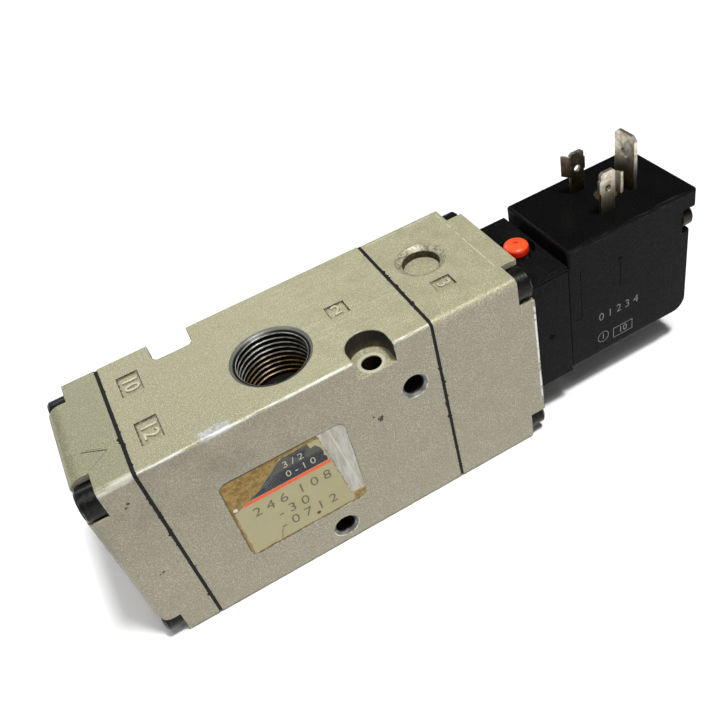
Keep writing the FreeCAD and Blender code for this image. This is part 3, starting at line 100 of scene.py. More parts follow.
class Shader:
    """One material; adds its nodes, links them and sets constants on the shader's own sockets."""

    def __init__(self, name, color=(0.5, 0.5, 0.5), **constants):
        self.material = bpy.data.materials.new(name)
        self.material.use_nodes = True
        self.tree = self.material.node_tree
        self.tree.nodes.clear()
        output = self.tree.nodes.new("ShaderNodeOutputMaterial")
        self.surface = self.tree.nodes.new("ShaderNodeBsdfPrincipled")
        self.tree.links.new(self.surface.outputs["BSDF"], output.inputs["Surface"])
        self.surface.inputs["Base Color"].default_value = (*color, 1)
        for socket, value in constants.items():
            self.surface.inputs[socket.replace("_", " ").title().replace("Ior", "IOR")].default_value = value
        self.place = self.tree.nodes.new("ShaderNodeTexCoord").outputs["Object"]
        split = self.node("ShaderNodeSeparateXYZ", {"Vector": self.place})
        self.x, self.y, self.z = (self.math("MULTIPLY", split.outputs[i], 1 / MM) for i in range(3))
        plain = self.node("ShaderNodeSeparateXYZ", {"Vector": self.place.node.outputs["Normal"]})
        self.facing_up = plain.outputs["Z"]

    def node(self, kind, inputs=None, **settings):
        made = self.tree.nodes.new(kind)
        for key, value in settings.items():
            setattr(made, key, value)
        for key, value in (inputs or {}).items():
            self.feed(made.inputs[key], value)
        return made

    def feed(self, socket, value):
        if isinstance(value, bpy.types.NodeSocket):
            self.tree.links.new(value, socket)
        elif isinstance(value, tuple) and len(value) == 3 and socket.type == "RGBA":
            socket.default_value = (*value, 1)
        else:
            socket.default_value = value

    def math(self, operation, a, b=None, c=None):
        made = self.tree.nodes.new("ShaderNodeMath")
        made.operation = operation
        for socket, value in zip(made.inputs, (a, b, c)):
            if value is not None:
                self.feed(socket, value)
        return made.outputs[0]

    def times(self, *values):
        total = values[0]
        for value in values[1:]:
            total = self.math("MULTIPLY", total, value)
        return total

    def step(self, value, low, high):
        """0 at low and 1 at high, smooth between; low may be the larger."""
        made = self.node("ShaderNodeMapRange", {"Value": value}, interpolation_type="SMOOTHSTEP")
        made.inputs["From Min"].default_value = min(low, high)
        made.inputs["From Max"].default_value = max(low, high)
        made.inputs["To Min"].default_value = 0.0 if low < high else 1.0
        made.inputs["To Max"].default_value = 1.0 if low < high else 0.0
        return made.outputs["Result"]

    def noise(self, size, detail=3.0, roughness=0.5, stretch=(1, 1, 1)):
        """Noise whose blobs are about size millimetres across; stretch makes them longer along an axis."""
        place = self.node("ShaderNodeVectorMath", {0: self.place}, operation="MULTIPLY")
        place.inputs[1].default_value = tuple(1 / (MM * size * s) for s in stretch)
        return self.node("ShaderNodeTexNoise", {
            "Vector": place.outputs[0], "Scale": 1.0, "Detail": detail, "Roughness": roughness}).outputs[0]

    def cells(self, size):
        """Distance to the nearest of scattered points about size millimetres apart."""
        made = self.node("ShaderNodeTexVoronoi", {
            "Vector": self.place, "Scale": 1 / (MM * size), "Randomness": 1.0})
        return made.outputs["Distance"]

    def mix(self, factor, a, b):
        made = self.node("ShaderNodeMix", data_type="RGBA")
        self.feed(made.inputs[0], factor)
        self.feed(made.inputs[6], a)
        self.feed(made.inputs[7], b)
        return made.outputs[2]

    def blend(self, factor, a, b):
        """Number between a and b."""
        made = self.node("ShaderNodeMix", data_type="FLOAT")
        self.feed(made.inputs[0], factor)
        self.feed(made.inputs[2], a)
        self.feed(made.inputs[3], b)
        return made.outputs[0]

    def rounded(self, radius):
        """Normal as if sharp edges had this radius in millimetres."""
        return self.node("ShaderNodeBevel", {"Radius": radius * MM}, samples=4).outputs[0]

    def edges(self, radius):
        """1 near sharp edges, 0 on the flats."""
        plain = self.node("ShaderNodeNewGeometry").outputs["Normal"]
        compare = self.node(
            "ShaderNodeVectorMath", {0: self.rounded(radius), 1: plain}, operation="DOT_PRODUCT")
        return self.step(compare.outputs["Value"], 0.97, 0.80)

    def bump(self, height, depth, normal=None):
        """Bump of about depth millimetres."""
        made = self.node("ShaderNodeBump", {"Height": height, "Distance": depth * MM, "Strength": 1.0})
        if normal is not None:
            self.feed(made.inputs["Normal"], normal)
        return made.outputs[0]

    def set(self, socket, value):
        self.feed(self.surface.inputs[socket], value)

    def box_mask(self, low, high, soft=0.1):
        """1 inside a box given in millimetres; None leaves that side open."""
        total = None
        for place, a, b in zip((self.x, self.y, self.z), low, high):
            for limit, direction in ((a, 1), (b, -1)):
                if limit is None:
                    continue
                part = self.step(place, limit - direction * soft, limit + direction * soft)
                total = part if total is None else self.times(total, part)
        return total

    def distance_from(self, centre, flat):
        """Distance in millimetres from a line through centre along the flat axis."""
        parts = []
        for axis, place, at in zip("xyz", (self.x, self.y, self.z), centre):
            if axis != flat:
                gap = self.math("SUBTRACT", place, at)
                parts.append(self.math("MULTIPLY", gap, gap))
        return self.math("SQRT", self.math("ADD", *parts))

    def line_mask(self, start, end, half_width):
        """1 along a straight line on a top face, between two (x, y) points."""
        length = math.dist(start, end)
        ux, uy = (end[0] - start[0]) / length, (end[1] - start[1]) / length
        gap_x = self.math("SUBTRACT", self.x, start[0])
        gap_y = self.math("SUBTRACT", self.y, start[1])
        along = self.math("ADD", self.times(gap_x, ux), self.times(gap_y, uy))
        across = self.math("ABSOLUTE", self.math("SUBTRACT", self.times(gap_x, uy), self.times(gap_y, ux)))
        return self.times(
            self.step(across, half_width * 1.4, half_width * 0.5),
            self.step(along, -0.1, 0.2),
            self.step(along, length + 0.1, length - 0.4))


def dress(material, *nodes):
    """Gives CAD nodes their material."""
    for name in nodes:
        slots = NODES[name].data.materials
        slots.clear()
        slots.append(material)


# Materials

PAINT = (0.408, 0.386, 0.248)
PAINT_DARK = (0.265, 0.250, 0.155)
PAINT_LIGHT = (0.640, 0.615, 0.455)
PAINT_SIDE_SHADE_TINT = (0.86, 0.84, 0.94)
PAINT_SHADE = (0.150, 0.144, 0.115)
BARE_METAL = (0.80, 0.80, 0.78)
GRIME = (0.030, 0.024, 0.015)
RUBBER_BLACK = (0.006, 0.006, 0.006)
BROWN_CHIP = (0.060, 0.035, 0.016)
INK_ROUGHNESS = 0.45
INK_THICKNESS = 0.012


def tinted(s, factor, color, tint):
    """The colour multiplied by a tint, as far as the factor says."""
    made = s.node("ShaderNodeMix", data_type="RGBA", blend_type="MULTIPLY")
    s.feed(made.inputs[0], factor)
    s.feed(made.inputs[6], color)
    s.feed(made.inputs[7], tint)
    return made.outputs[2]


def cast_paint(name, extra=None, gasket_planes=(), worn=1.0):
    """Champagne enamel with a fine metallic speckle, painted greyer and darker on upright faces as shade,
    worn bright along the edges.
    """
    s = Shader(name, PAINT, metallic=0.15, roughness=0.48, specular_ior_level=0.35)
    speckle = s.noise(0.24, 1.5, 0.6)
    grain = s.noise(0.55, 3.0, 0.65)
    blotch = s.noise(4.5, 4.0, 0.6)
    color = s.mix(s.step(speckle, 0.34, 0.56), PAINT_DARK, PAINT)
    color = s.mix(s.times(s.step(speckle, 0.53, 0.66), 0.80), color, PAINT_LIGHT)
    color = s.mix(s.times(s.step(grain, 0.60, 0.38), 0.40), color, PAINT_DARK)
    color = s.mix(s.times(s.step(blotch, 0.62, 0.36), 0.30), color, PAINT_DARK)
    # Painted shade: upright faces are tinted greyer and darker than the top.
    upright = s.step(s.math("ABSOLUTE", s.facing_up), 0.75, 0.35)
    color = tinted(s, upright, color, PAINT_SIDE_SHADE_TINT)
    haze = s.times(
        upright, s.step(s.noise(9.0, 4.0, 0.65), 0.36, 0.66), s.step(s.z, 18.0, 44.0),
        s.step(s.x, BODY_HIGH.x + 4, BODY_LOW.x + 8))
    color = s.mix(s.times(haze, 0.50), color, PAINT_SHADE)
    streaks = s.times(upright, s.step(s.noise(0.9, 3.0, 0.6, stretch=(1, 1, 12)), 0.54, 0.70))
    color = s.mix(s.times(streaks, s.step(blotch, 0.42, 0.60), 0.22), color, PAINT_SHADE)
    pits = s.times(s.step(s.cells(1.1), 0.11, 0.05), s.step(s.noise(3.0, 2.0), 0.50, 0.62))
    color = s.mix(s.times(pits, 0.75), color, GRIME)
    wear = s.times(s.edges(0.20), s.step(s.noise(0.8, 3.0), 0.42, 0.60), worn)
    rough = s.blend(s.step(blotch, 0.3, 0.7), 0.44, 0.56)
    rough = s.blend(wear, rough, 0.28)
    color = s.mix(s.times(wear, 0.9), color, BARE_METAL)
    if extra:
        color, rough = extra(s, color, rough)
    for plane in gasket_planes:
        gap = s.math("ABSOLUTE", s.math("SUBTRACT", s.x, plane))
        ragged = s.times(s.step(s.noise(1.9, 3.0, 0.6), 0.55, 0.72), 0.40)
        squeezed = s.step(s.math("SUBTRACT", gap, ragged), 0.06, 0.0)
        color = s.mix(squeezed, color, RUBBER_BLACK)
        rough = s.blend(squeezed, rough, 0.7)
    s.set("Base Color", color)
    s.set("Roughness", rough)
    s.set("Metallic", s.blend(wear, 0.15, 0.75))
    fine = s.bump(speckle, 0.010, s.rounded(0.25))
    grained = s.bump(grain, 0.020, fine)
    s.set("Normal", s.bump(s.math("ADD", blotch, s.times(pits, -0.4)), 0.04, grained))
    return s.material


def panel_shade(s, color, centre_x, centre_y, half_x, half_y):
    """Painted shade along the walls of a sunk number panel, and a floor painted slightly darker as shade."""
    gap_x = s.math("SUBTRACT", s.math("ABSOLUTE", s.math("SUBTRACT", s.x, centre_x)), half_x)
    gap_y = s.math("SUBTRACT", s.math("ABSOLUTE", s.math("SUBTRACT", s.y, centre_y)), half_y)
    gap = s.math("MAXIMUM", gap_x, gap_y)
    inside = s.times(s.step(gap, 0.10, -0.02), s.step(s.z, BODY_HIGH.z - 1.0, BODY_HIGH.z - 0.6))
    corner = s.times(inside, s.step(gap, -0.42, -0.12), s.step(s.noise(0.8, 3.0), 0.32, 0.52))
    color = s.mix(s.times(inside, 0.25), color, PAINT_DARK)
    return s.mix(s.times(corner, 0.85), color, (0.055, 0.048, 0.030))


def body_details(s, color, rough):
    """Threads, hole rims, machined mouths, tooling lines, chip and worn top front edge of the main body, with
    painted shade in its ports, holes, notches and number panels and on the left of its top, and a painted
    highlight along the top front edge.
    """
    lines = s.noise(0.34, 1.5, 0.5, stretch=(30, 1, 1))
    fade = s.times(
        s.step(s.x, BODY_HIGH.x - 34, BODY_HIGH.x - 18), s.step(s.z, BODY_HIGH.z - 0.9, BODY_HIGH.z - 0.2))
    color = s.mix(s.times(fade, s.step(lines, 0.50, 0.68), 0.12), color, PAINT_LIGHT)
    color = s.mix(s.times(fade, s.step(lines, 0.42, 0.30), 0.12), color, PAINT_DARK)
    # Painted shade: the top face is tinted darker towards its left end.
    top_left_shade = s.times(s.step(s.facing_up, 0.40, 0.75), s.step(s.x, BODY_HIGH.x - 14, BODY_LOW.x + 6))
    color = tinted(s, top_left_shade, color, (0.86, 0.87, 0.86))
    for name in ("port_a", "port_p", "port_r"):
        centre = mount_point(name)
        near = s.distance_from(centre, "z")
        if name == "port_a":
            depth = s.math("SUBTRACT", BODY_HIGH.z, s.z)
        else:
            depth = s.z
        inside = s.times(
            s.step(near, PORT_MOUTH + 0.12, PORT_MOUTH - 0.02),
            s.step(depth, 0.02, 0.20), s.step(depth, PORT_DEPTH + 1.5, PORT_DEPTH + 0.5))
        crest = s.step(near, THREAD_CREST + 0.16, THREAD_CREST + 0.04)
        stain = s.noise(2.2, 4.0, 0.65)
        low = s.step(s.math("ADD", depth, s.times(stain, 5.0)), 7.6, 9.8)
        silver = s.mix(s.step(stain, 0.35, 0.65), (0.52, 0.52, 0.48), (0.20, 0.20, 0.18))
        golden = s.mix(s.step(stain, 0.35, 0.60), (0.52, 0.33, 0.12), (0.13, 0.075, 0.026))
        # Painted shade: thread roots are near black.
        groove = s.mix(s.step(stain, 0.5, 0.7), (0.005, 0.005, 0.004), (0.022, 0.016, 0.008))
        metal = s.mix(crest, groove, s.mix(low, silver, golden))
        mouth = s.step(depth, 0.62, 0.46)
        metal = s.mix(mouth, metal, (0.17, 0.175, 0.15))
        # Painted shade: the port's floor is near black.
        metal = s.mix(s.step(depth, PORT_DEPTH - 0.5, PORT_DEPTH - 0.2), metal, (0.012, 0.010, 0.007))
        color = s.mix(inside, color, metal)
        rough = s.blend(inside, rough, 0.34)
        # Painted shade: the passage below the port is near black.
        passage = s.times(
            s.step(near, 6.2, 6.05), s.step(depth, PORT_DEPTH - 0.4, PORT_DEPTH + 0.2),
            s.step(depth, AXIS_Z + 2, AXIS_Z + 1))
        color = s.mix(passage, color, (0.008, 0.007, 0.005))
    for name in ("upper_cross_hole", "lower_cross_hole"):
        near = s.math("ADD", s.distance_from(mount_point(name), "y"), s.times(s.noise(1.4, 3.0), 0.22))
        rim = s.step(near, CROSS_RIM + 0.06, CROSS_RIM - 0.06)
        well = s.step(near, CROSS_WELL + 0.08, CROSS_WELL - 0.08)
        bright = s.times(
            s.step(near, CROSS_RIM + 0.16, CROSS_RIM + 0.04),
            s.step(near, CROSS_RIM - 0.16, CROSS_RIM - 0.04),
            s.step(s.noise(1.3, 2.0), 0.40, 0.56))
        metal = s.mix(s.step(s.noise(1.8, 3.0), 0.38, 0.66), (0.115, 0.112, 0.100), (0.25, 0.25, 0.235))
        color = s.mix(rim, color, metal)
        color = s.mix(bright, color, (0.62, 0.62, 0.58))
        # Painted shade: the inside of the hole is near black.
        color = s.mix(well, color, (0.022, 0.020, 0.016))
        rough = s.blend(rim, rough, 0.30)
    for name in ("front_fixing_hole", "back_fixing_hole"):
        centre = mount_point(name)
        across = s.math("ABSOLUTE", s.math("SUBTRACT", s.x, centre.x))
        side = math.copysign(1, centre.y)
        inward = s.times(s.math("SUBTRACT", s.y, centre.y), -side)
        wall = s.times(
            s.step(across, NOTCH_REACH + 0.05, NOTCH_REACH - 0.15),
            s.step(inward, NOTCH_REACH + 0.1, NOTCH_REACH - 0.15),
            s.step(s.times(s.y, side), BODY_HIGH.y - 0.02, BODY_HIGH.y - 0.25),
            s.step(s.z, BODY_HIGH.z - 0.05, BODY_HIGH.z - 0.35),
            s.step(s.z, NOTCH_FLOOR + 0.1, NOTCH_FLOOR + 0.5))
        cloud = s.noise(2.4, 4.0, 0.6)
        # Painted shade: the notch walls are dark brown, near black in their upper part.
        brown = s.mix(s.step(cloud, 0.35, 0.65), (0.018, 0.012, 0.006), (0.075, 0.052, 0.024))
        shade = s.mix(s.step(s.z, NOTCH_FLOOR + 0.6, NOTCH_FLOOR + 2.6), brown, (0.010, 0.007, 0.004))
        color = s.mix(s.times(wall, 0.97), color, shade)
        rough = s.blend(wall, rough, 0.75)
        near = s.math("ADD", s.distance_from(centre, "z"), s.times(s.noise(1.0, 3.0), 0.5))
        floor_zone = s.times(
            s.step(s.z, NOTCH_FLOOR + 0.35, NOTCH_FLOOR + 0.1),
            s.step(s.z, NOTCH_FLOOR - 0.7, NOTCH_FLOOR - 0.3))
        lumpy = s.times(s.step(near, 3.35, 2.95), floor_zone)
        color = s.mix(s.times(lumpy, 0.75), color, (0.62, 0.59, 0.44))
        plain = s.distance_from(centre, "z")
        # Painted shade: the hole in the notch floor is near black.
        well = s.times(s.step(plain, 2.35, 2.2), s.step(s.z, NOTCH_FLOOR - 0.05, NOTCH_FLOOR - 0.5))
        color = s.mix(well, color, (0.012, 0.010, 0.008))
    inland = s.math("SUBTRACT", s.y, BODY_LOW.y)
    torn = s.math("SUBTRACT", s.noise(1.4, 5.0, 0.7), s.times(inland, 0.12))
    chip = s.times(
        s.box_mask(
            (BODY_LOW.x + 12.6, None, BODY_HIGH.z - 0.6), (BODY_LOW.x + 18.6, BODY_LOW.y + 2.3, None), 0.5),
        s.step(torn, 0.20, 0.27))
    chip_shade = s.mix(s.step(s.noise(0.7, 3.0), 0.4, 0.6), (0.35, 0.355, 0.345), (0.45, 0.455, 0.445))
    color = s.mix(chip, color, chip_shade)
    rough = s.blend(chip, rough, 0.42)
    # Worn paint along the top front edge, with a painted highlight: a near-white line.
    rubbed_and_highlight = s.times(
        s.box_mask((None, None, BODY_HIGH.z - 0.42), (None, BODY_LOW.y + 0.42, None), 0.14),
        s.step(s.noise(0.9, 3.0, 0.6, stretch=(6, 1, 1)), 0.34, 0.56))
    color = s.mix(s.times(rubbed_and_highlight, 0.85), color, (0.78, 0.78, 0.74))
    rough = s.blend(rubbed_and_highlight, rough, 0.30)
    crumbs = s.times(s.noise(0.45, 3.0, 0.7, stretch=(1, 1, 1.6)), 2.4)
    for along, height, reach in ((46.6, 31.4, 1.95), (45.2, 33.0, 1.45)):
        smudge = s.math("ADD", s.distance_from((BODY_LOW.x + along, 0, height), "y"), crumbs)
        scuff = s.times(s.step(smudge, reach, reach - 0.25), s.step(s.y, BODY_LOW.y + 0.1, BODY_LOW.y + 0.05))
        color = s.mix(scuff, color, GRIME)
    for centre_x, centre_y, half_x, half_y in PANELS:
        color = panel_shade(s, color, centre_x, centre_y, half_x, half_y)
    return color, rough


def cover_details(s, color, rough):
    """Scribed line and small brown chips of the end cover, with painted shade on its top and wear with a
    painted highlight along its top front edge.
    """
    x0 = COVER_HIGH.x
    top = s.step(s.z, COVER_HIGH.z - 1.0, COVER_HIGH.z - 0.5)
    for start, end, width, strength in (
            ((x0 - 7.2, -5.1), (x0 - 2.4, -7.6), 0.14, 0.9),
            ((x0 - 6.4, -5.0), (x0 - 3.4, -6.5), 0.08, 0.6),
            ((x0 - 2.5, -7.6), (x0 - 7.0, -10.7), 0.07, 0.55)):
        color = s.mix(s.times(s.line_mask(start, end, width), top, strength), color, GRIME)
    # Painted shade: the cover's top is tinted darker and greener.
    color = tinted(s, s.times(s.step(s.facing_up, 0.40, 0.75), top), color, (0.71, 0.74, 0.71))
    # Worn paint along the cover's top front edge, with a painted highlight.
    shine_and_wear = s.times(
        s.box_mask((x0 - 9.0, None, COVER_HIGH.z - 1.2), (None, COVER_LOW.y + 1.2, None), 0.45),
        s.step(s.noise(1.6, 3.0, 0.6, stretch=(5, 1, 1)), 0.30, 0.60))
    color = s.mix(s.times(shine_and_wear, 0.5), color, (0.74, 0.73, 0.66))
    rough = s.blend(shine_and_wear, rough, 0.34)
    front = s.step(s.y, COVER_LOW.y + 0.6, COVER_LOW.y + 0.2)
    chips = (
        (3.25, 43.4, 0.50), (3.95, 42.6, 0.42), (10.7, 30.6, 0.40), (4.9, 21.5, 0.46),
        (5.7, 21.2, 0.30), (1.55, 22.4, 0.26), (1.0, 11.1, 0.24))
    for along, height, size in chips:
        near = s.math("ADD", s.distance_from((x0 - along, 0, height), "y"), s.times(s.noise(0.5, 2.0), 0.15))
        color = s.mix(s.times(s.step(near, size, size * 0.7), front), color, BROWN_CHIP)
    return color, rough


def adapter_details(s, color, rough):
    """Machined boss with painted brown shade on its bore wall and a painted shade ring round its edge, two
    cast witness lines, and painted shade in the number panel.
    """
    near = s.distance_from(BOSS_CENTRE, "z")
    depth = s.math("SUBTRACT", ADAPTER_HIGH.z, s.z)
    deep = s.times(s.step(depth, 0.5, 1.2), s.step(depth, 5, 4))
    wall = s.times(
        s.step(near, BOSS_BORE + 0.4, BOSS_BORE + 0.1),
        s.step(near, BOSS_BORE - 0.25, BOSS_BORE - 0.08), deep)
    stain = s.noise(1.6, 3.0, 0.6)
    # Painted shade: the bore wall is dark brown.
    brown = s.mix(s.step(stain, 0.35, 0.62), (0.016, 0.012, 0.006), (0.070, 0.054, 0.028))
    color = s.mix(s.times(wall, 0.95), color, brown)
    cone = s.times(
        s.step(near, BOSS_RADIUS + 0.1, BOSS_RADIUS - 0.05), s.step(near, BOSS_BORE - 0.05, BOSS_BORE + 0.1),
        s.step(depth, 0.05, 0.2), s.step(depth, 1.1, 0.9))
    cone_shade = s.mix(s.step(s.noise(0.7, 3.0, 0.6), 0.38, 0.62), (0.150, 0.135, 0.080), (0.46, 0.44, 0.33))
    color = s.mix(s.times(cone, 0.8), color, cone_shade)
    rough = s.blend(cone, rough, 0.42)
    # Painted shade: a dark olive ring along the boss's outer edge.
    outline = s.times(
        s.step(near, BOSS_RADIUS + 0.28, BOSS_RADIUS + 0.12),
        s.step(near, BOSS_RADIUS - 0.14, BOSS_RADIUS - 0.02),
        s.step(s.noise(1.2, 2.0), 0.36, 0.54), s.step(depth, 0.6, 0.2))
    color = s.mix(s.times(outline, 0.55), color, (0.105, 0.095, 0.055))
    top = s.step(s.z, ADAPTER_HIGH.z - 0.3, ADAPTER_HIGH.z - 0.1)
    broken = s.step(s.noise(1.8, 2.0), 0.42, 0.50)
    for start, end in (
            ((ADAPTER_LOW.x + 1.0, 15.2), (ADAPTER_HIGH.x - 5.0, 15.2)),
            ((ADAPTER_HIGH.x - 4.6, 15.0), (ADAPTER_HIGH.x - 4.6, -13.5))):
        line = s.times(s.line_mask(start, end, 0.12), top, broken)
        color = s.mix(s.times(line, 0.55), color, (0.70, 0.68, 0.56))
    for centre_x, centre_y, half_x, half_y in ADAPTER_PANELS:
        color = panel_shade(s, color, centre_x, centre_y, half_x, half_y)
    corner = s.box_mask(
        (ADAPTER_HIGH.x - 0.5, None, 12.0), (None, ADAPTER_LOW.y + 0.5, 40.0), 0.15)
    return s.mix(s.times(corner, s.step(stain, 0.36, 0.50), 0.8), color, BARE_METAL), rough


def black_rubber(name):
    s = Shader(name, RUBBER_BLACK, roughness=0.7, specular_ior_level=0.2)
    grain = s.noise(0.4, 3.0, 0.6)
    s.set("Base Color", s.mix(s.step(grain, 0.4, 0.7), RUBBER_BLACK, tuple(3 * c for c in RUBBER_BLACK)))
    s.set("Roughness", s.blend(grain, 0.55, 0.85))
    s.set("Normal", s.bump(grain, 0.04, s.rounded(0.12)))
    return s.material


def black_oxide(name):
    """Blackened steel, worn bright on its rims, with a painted highlight there."""
    s = Shader(name, (0.02, 0.02, 0.02), metallic=0.6, roughness=0.34, specular_ior_level=0.35)
    smear = s.noise(1.0, 4.0, 0.65)
    knurl = s.noise(0.45, 1.0, 0.4, stretch=(1, 30, 30))
    # Rims: wear with a painted highlight.
    wear = s.times(s.edges(0.22), s.step(s.noise(1.8, 3.0), 0.44, 0.58))
    color = s.mix(s.step(smear, 0.50, 0.80), (0.008, 0.008, 0.007), (0.040, 0.038, 0.031))
    s.set("Base Color", s.mix(wear, color, (0.62, 0.61, 0.58)))
    s.set("Roughness", s.blend(wear, s.blend(smear, 0.26, 0.46), 0.24))
    s.set("Metallic", s.blend(wear, 0.6, 1.0))
    s.set("Normal", s.bump(knurl, 0.030, s.rounded(0.2)))
    return s.material


def moulded_plastic(name, color, gloss, level=0.05, extra=None):
    """Moulded plastic with a fine grain, dust and edges painted lighter as a sheen."""
    s = Shader(name, color, roughness=gloss, specular_ior_level=level)
    grain = s.noise(0.32, 2.0, 0.6)
    cloud = s.noise(6.0, 4.0, 0.6)
    dust = s.times(s.step(s.cells(1.5), 0.09, 0.03), s.step(s.noise(5.0), 0.50, 0.64))
    shade = s.mix(s.step(cloud, 0.35, 0.7), tuple(c * 0.80 for c in color), tuple(c * 1.25 for c in color))
    shade = s.mix(s.step(grain, 0.48, 0.68), shade, tuple(c * 3.6 for c in color))
    shade = s.mix(s.times(dust, 0.30), shade, (0.16, 0.155, 0.14))
    # Painted sheen: edges are painted lighter.
    shade = s.mix(s.times(s.edges(0.2), s.step(cloud, 0.4, 0.6), 0.30), shade, tuple(c * 2.5 for c in color))
    rough = s.blend(s.step(cloud, 0.3, 0.7), gloss - 0.05, gloss + 0.08)
    if extra:
        shade, rough = extra(s, shade, rough)
    s.set("Base Color", shade)
    s.set("Roughness", rough)
    s.set("Normal", s.bump(grain, 0.014, s.rounded(0.25)))
    return s.material


def coil_details(s, shade, rough):
    """The head's top is smoother and painted darker as shade, with light rubbing along its front edge and at
    its corner.
    """
    top = s.step(s.z, COIL_HIGH.z - 0.25, COIL_HIGH.z - 0.05)
    rough = s.blend(top, rough, 0.25)
    # Painted shade: the head's top is darker than its sides.
    shade = s.mix(s.times(top, 0.6), shade, (0.0028, 0.0029, 0.0028))
    rub = s.times(
        s.box_mask((None, None, COIL_HIGH.z - 1.1), (None, COIL_LOW.y + 0.9, None), 0.25),
        s.step(s.noise(0.45, 2.0, 0.5, stretch=(9, 1, 1)), 0.56, 0.68))
    shade = s.mix(s.times(rub, 0.22), shade, (0.060, 0.060, 0.056))
    bloom = s.times(
        s.step(s.noise(1.3, 4.0, 0.7), 0.60, 0.72),
        s.box_mask((None, None, COIL_HIGH.z - 4.8), (None, COIL_LOW.y + 0.2, None), 0.4))
    shade = s.mix(s.times(bloom, 0.25), shade, (0.060, 0.060, 0.054))
    return shade, rough


def button_plastic(name):
    s = Shader(name, (0.9, 0.09, 0.02), roughness=0.35, subsurface_weight=0.08, specular_ior_level=0.35)
    s.surface.inputs["Subsurface Radius"].default_value = (0.002, 0.0006, 0.0003)
    cloud = s.noise(1.5, 3.0)
    # Painted light and shade: the cap's top is a lighter orange than its side.
    top = s.step(s.z, BUTTON_HIGH.z - 1.0, BUTTON_HIGH.z - 0.45)
    side = s.mix(cloud, (0.66, 0.018, 0.004), (0.80, 0.030, 0.007))
    cap = s.mix(cloud, (0.88, 0.070, 0.016), (0.93, 0.105, 0.026))
    middle = (BUTTON_LOW + BUTTON_HIGH) / 2
    near = s.distance_from(middle, "z")
    # Painted shade: a darker ring round the dimple in the middle of the cap.
    nub = s.times(top, s.step(near, 0.75, 0.55), s.step(near, 0.15, 0.40))
    s.set("Base Color", s.mix(s.times(nub, 0.55), s.mix(top, side, cap), (0.50, 0.012, 0.003)))
    s.set("Roughness", s.blend(cloud, 0.26, 0.42))
    s.set("Normal", s.bump(s.noise(0.3), 0.01, s.rounded(0.3)))
    return s.material


def tinned(name):
    """Warm tin plate, slightly dull, with fine draw lines, dark smudges and edges painted light as a
    highlight.
    """
    s = Shader(name, (0.70, 0.65, 0.56), metallic=1.0, roughness=0.26)
    lines = s.noise(0.16, 2.0, 0.5, stretch=(1, 1, 30))
    cloud = s.noise(1.6, 4.0, 0.6)
    color = s.mix(s.step(cloud, 0.35, 0.72), (0.76, 0.70, 0.58), (0.32, 0.27, 0.18))
    low = s.step(s.math("ADD", s.z, s.times(cloud, 3.0)), COIL_HIGH.z + 11.0, COIL_HIGH.z + 5.0)
    color = s.mix(s.times(low, 0.88), color, (0.085, 0.068, 0.038))
    back_face = s.times(s.step(s.y, 4.0, 4.8), s.step(s.y, 5.40, 5.20))
    color = s.mix(s.times(back_face, s.step(cloud, 0.80, 0.50), 0.92), color, (0.035, 0.029, 0.018))
    # Painted highlight: the blades' edges are painted light cream.
    color = s.mix(s.times(s.edges(0.16), 0.8), color, (0.92, 0.88, 0.78))
    s.set("Base Color", color)
    s.set("Roughness", s.blend(cloud, 0.30, 0.50))
    s.set("Normal", s.bump(lines, 0.006, s.rounded(0.12)))
    return s.material


def turned_metal(name, color, rough, turn_axis="x"):
    """Metal with fine lathe rings across its axis."""
    s = Shader(name, color, metallic=1.0, roughness=rough)
    flat = {"x": (1, 60, 60), "y": (60, 1, 60), "z": (60, 60, 1)}[turn_axis]
    rings = s.noise(0.22, 1.0, 0.5, stretch=flat)
    cloud = s.noise(2.0, 3.0)
    s.set("Base Color", s.mix(s.step(cloud, 0.35, 0.7), color, tuple(c * 0.72 for c in color)))
    s.set("Roughness", s.blend(cloud, max(rough - 0.08, 0.05), rough + 0.12))
    s.set("Normal", s.bump(rings, 0.008, s.rounded(0.15)))
    return s.material


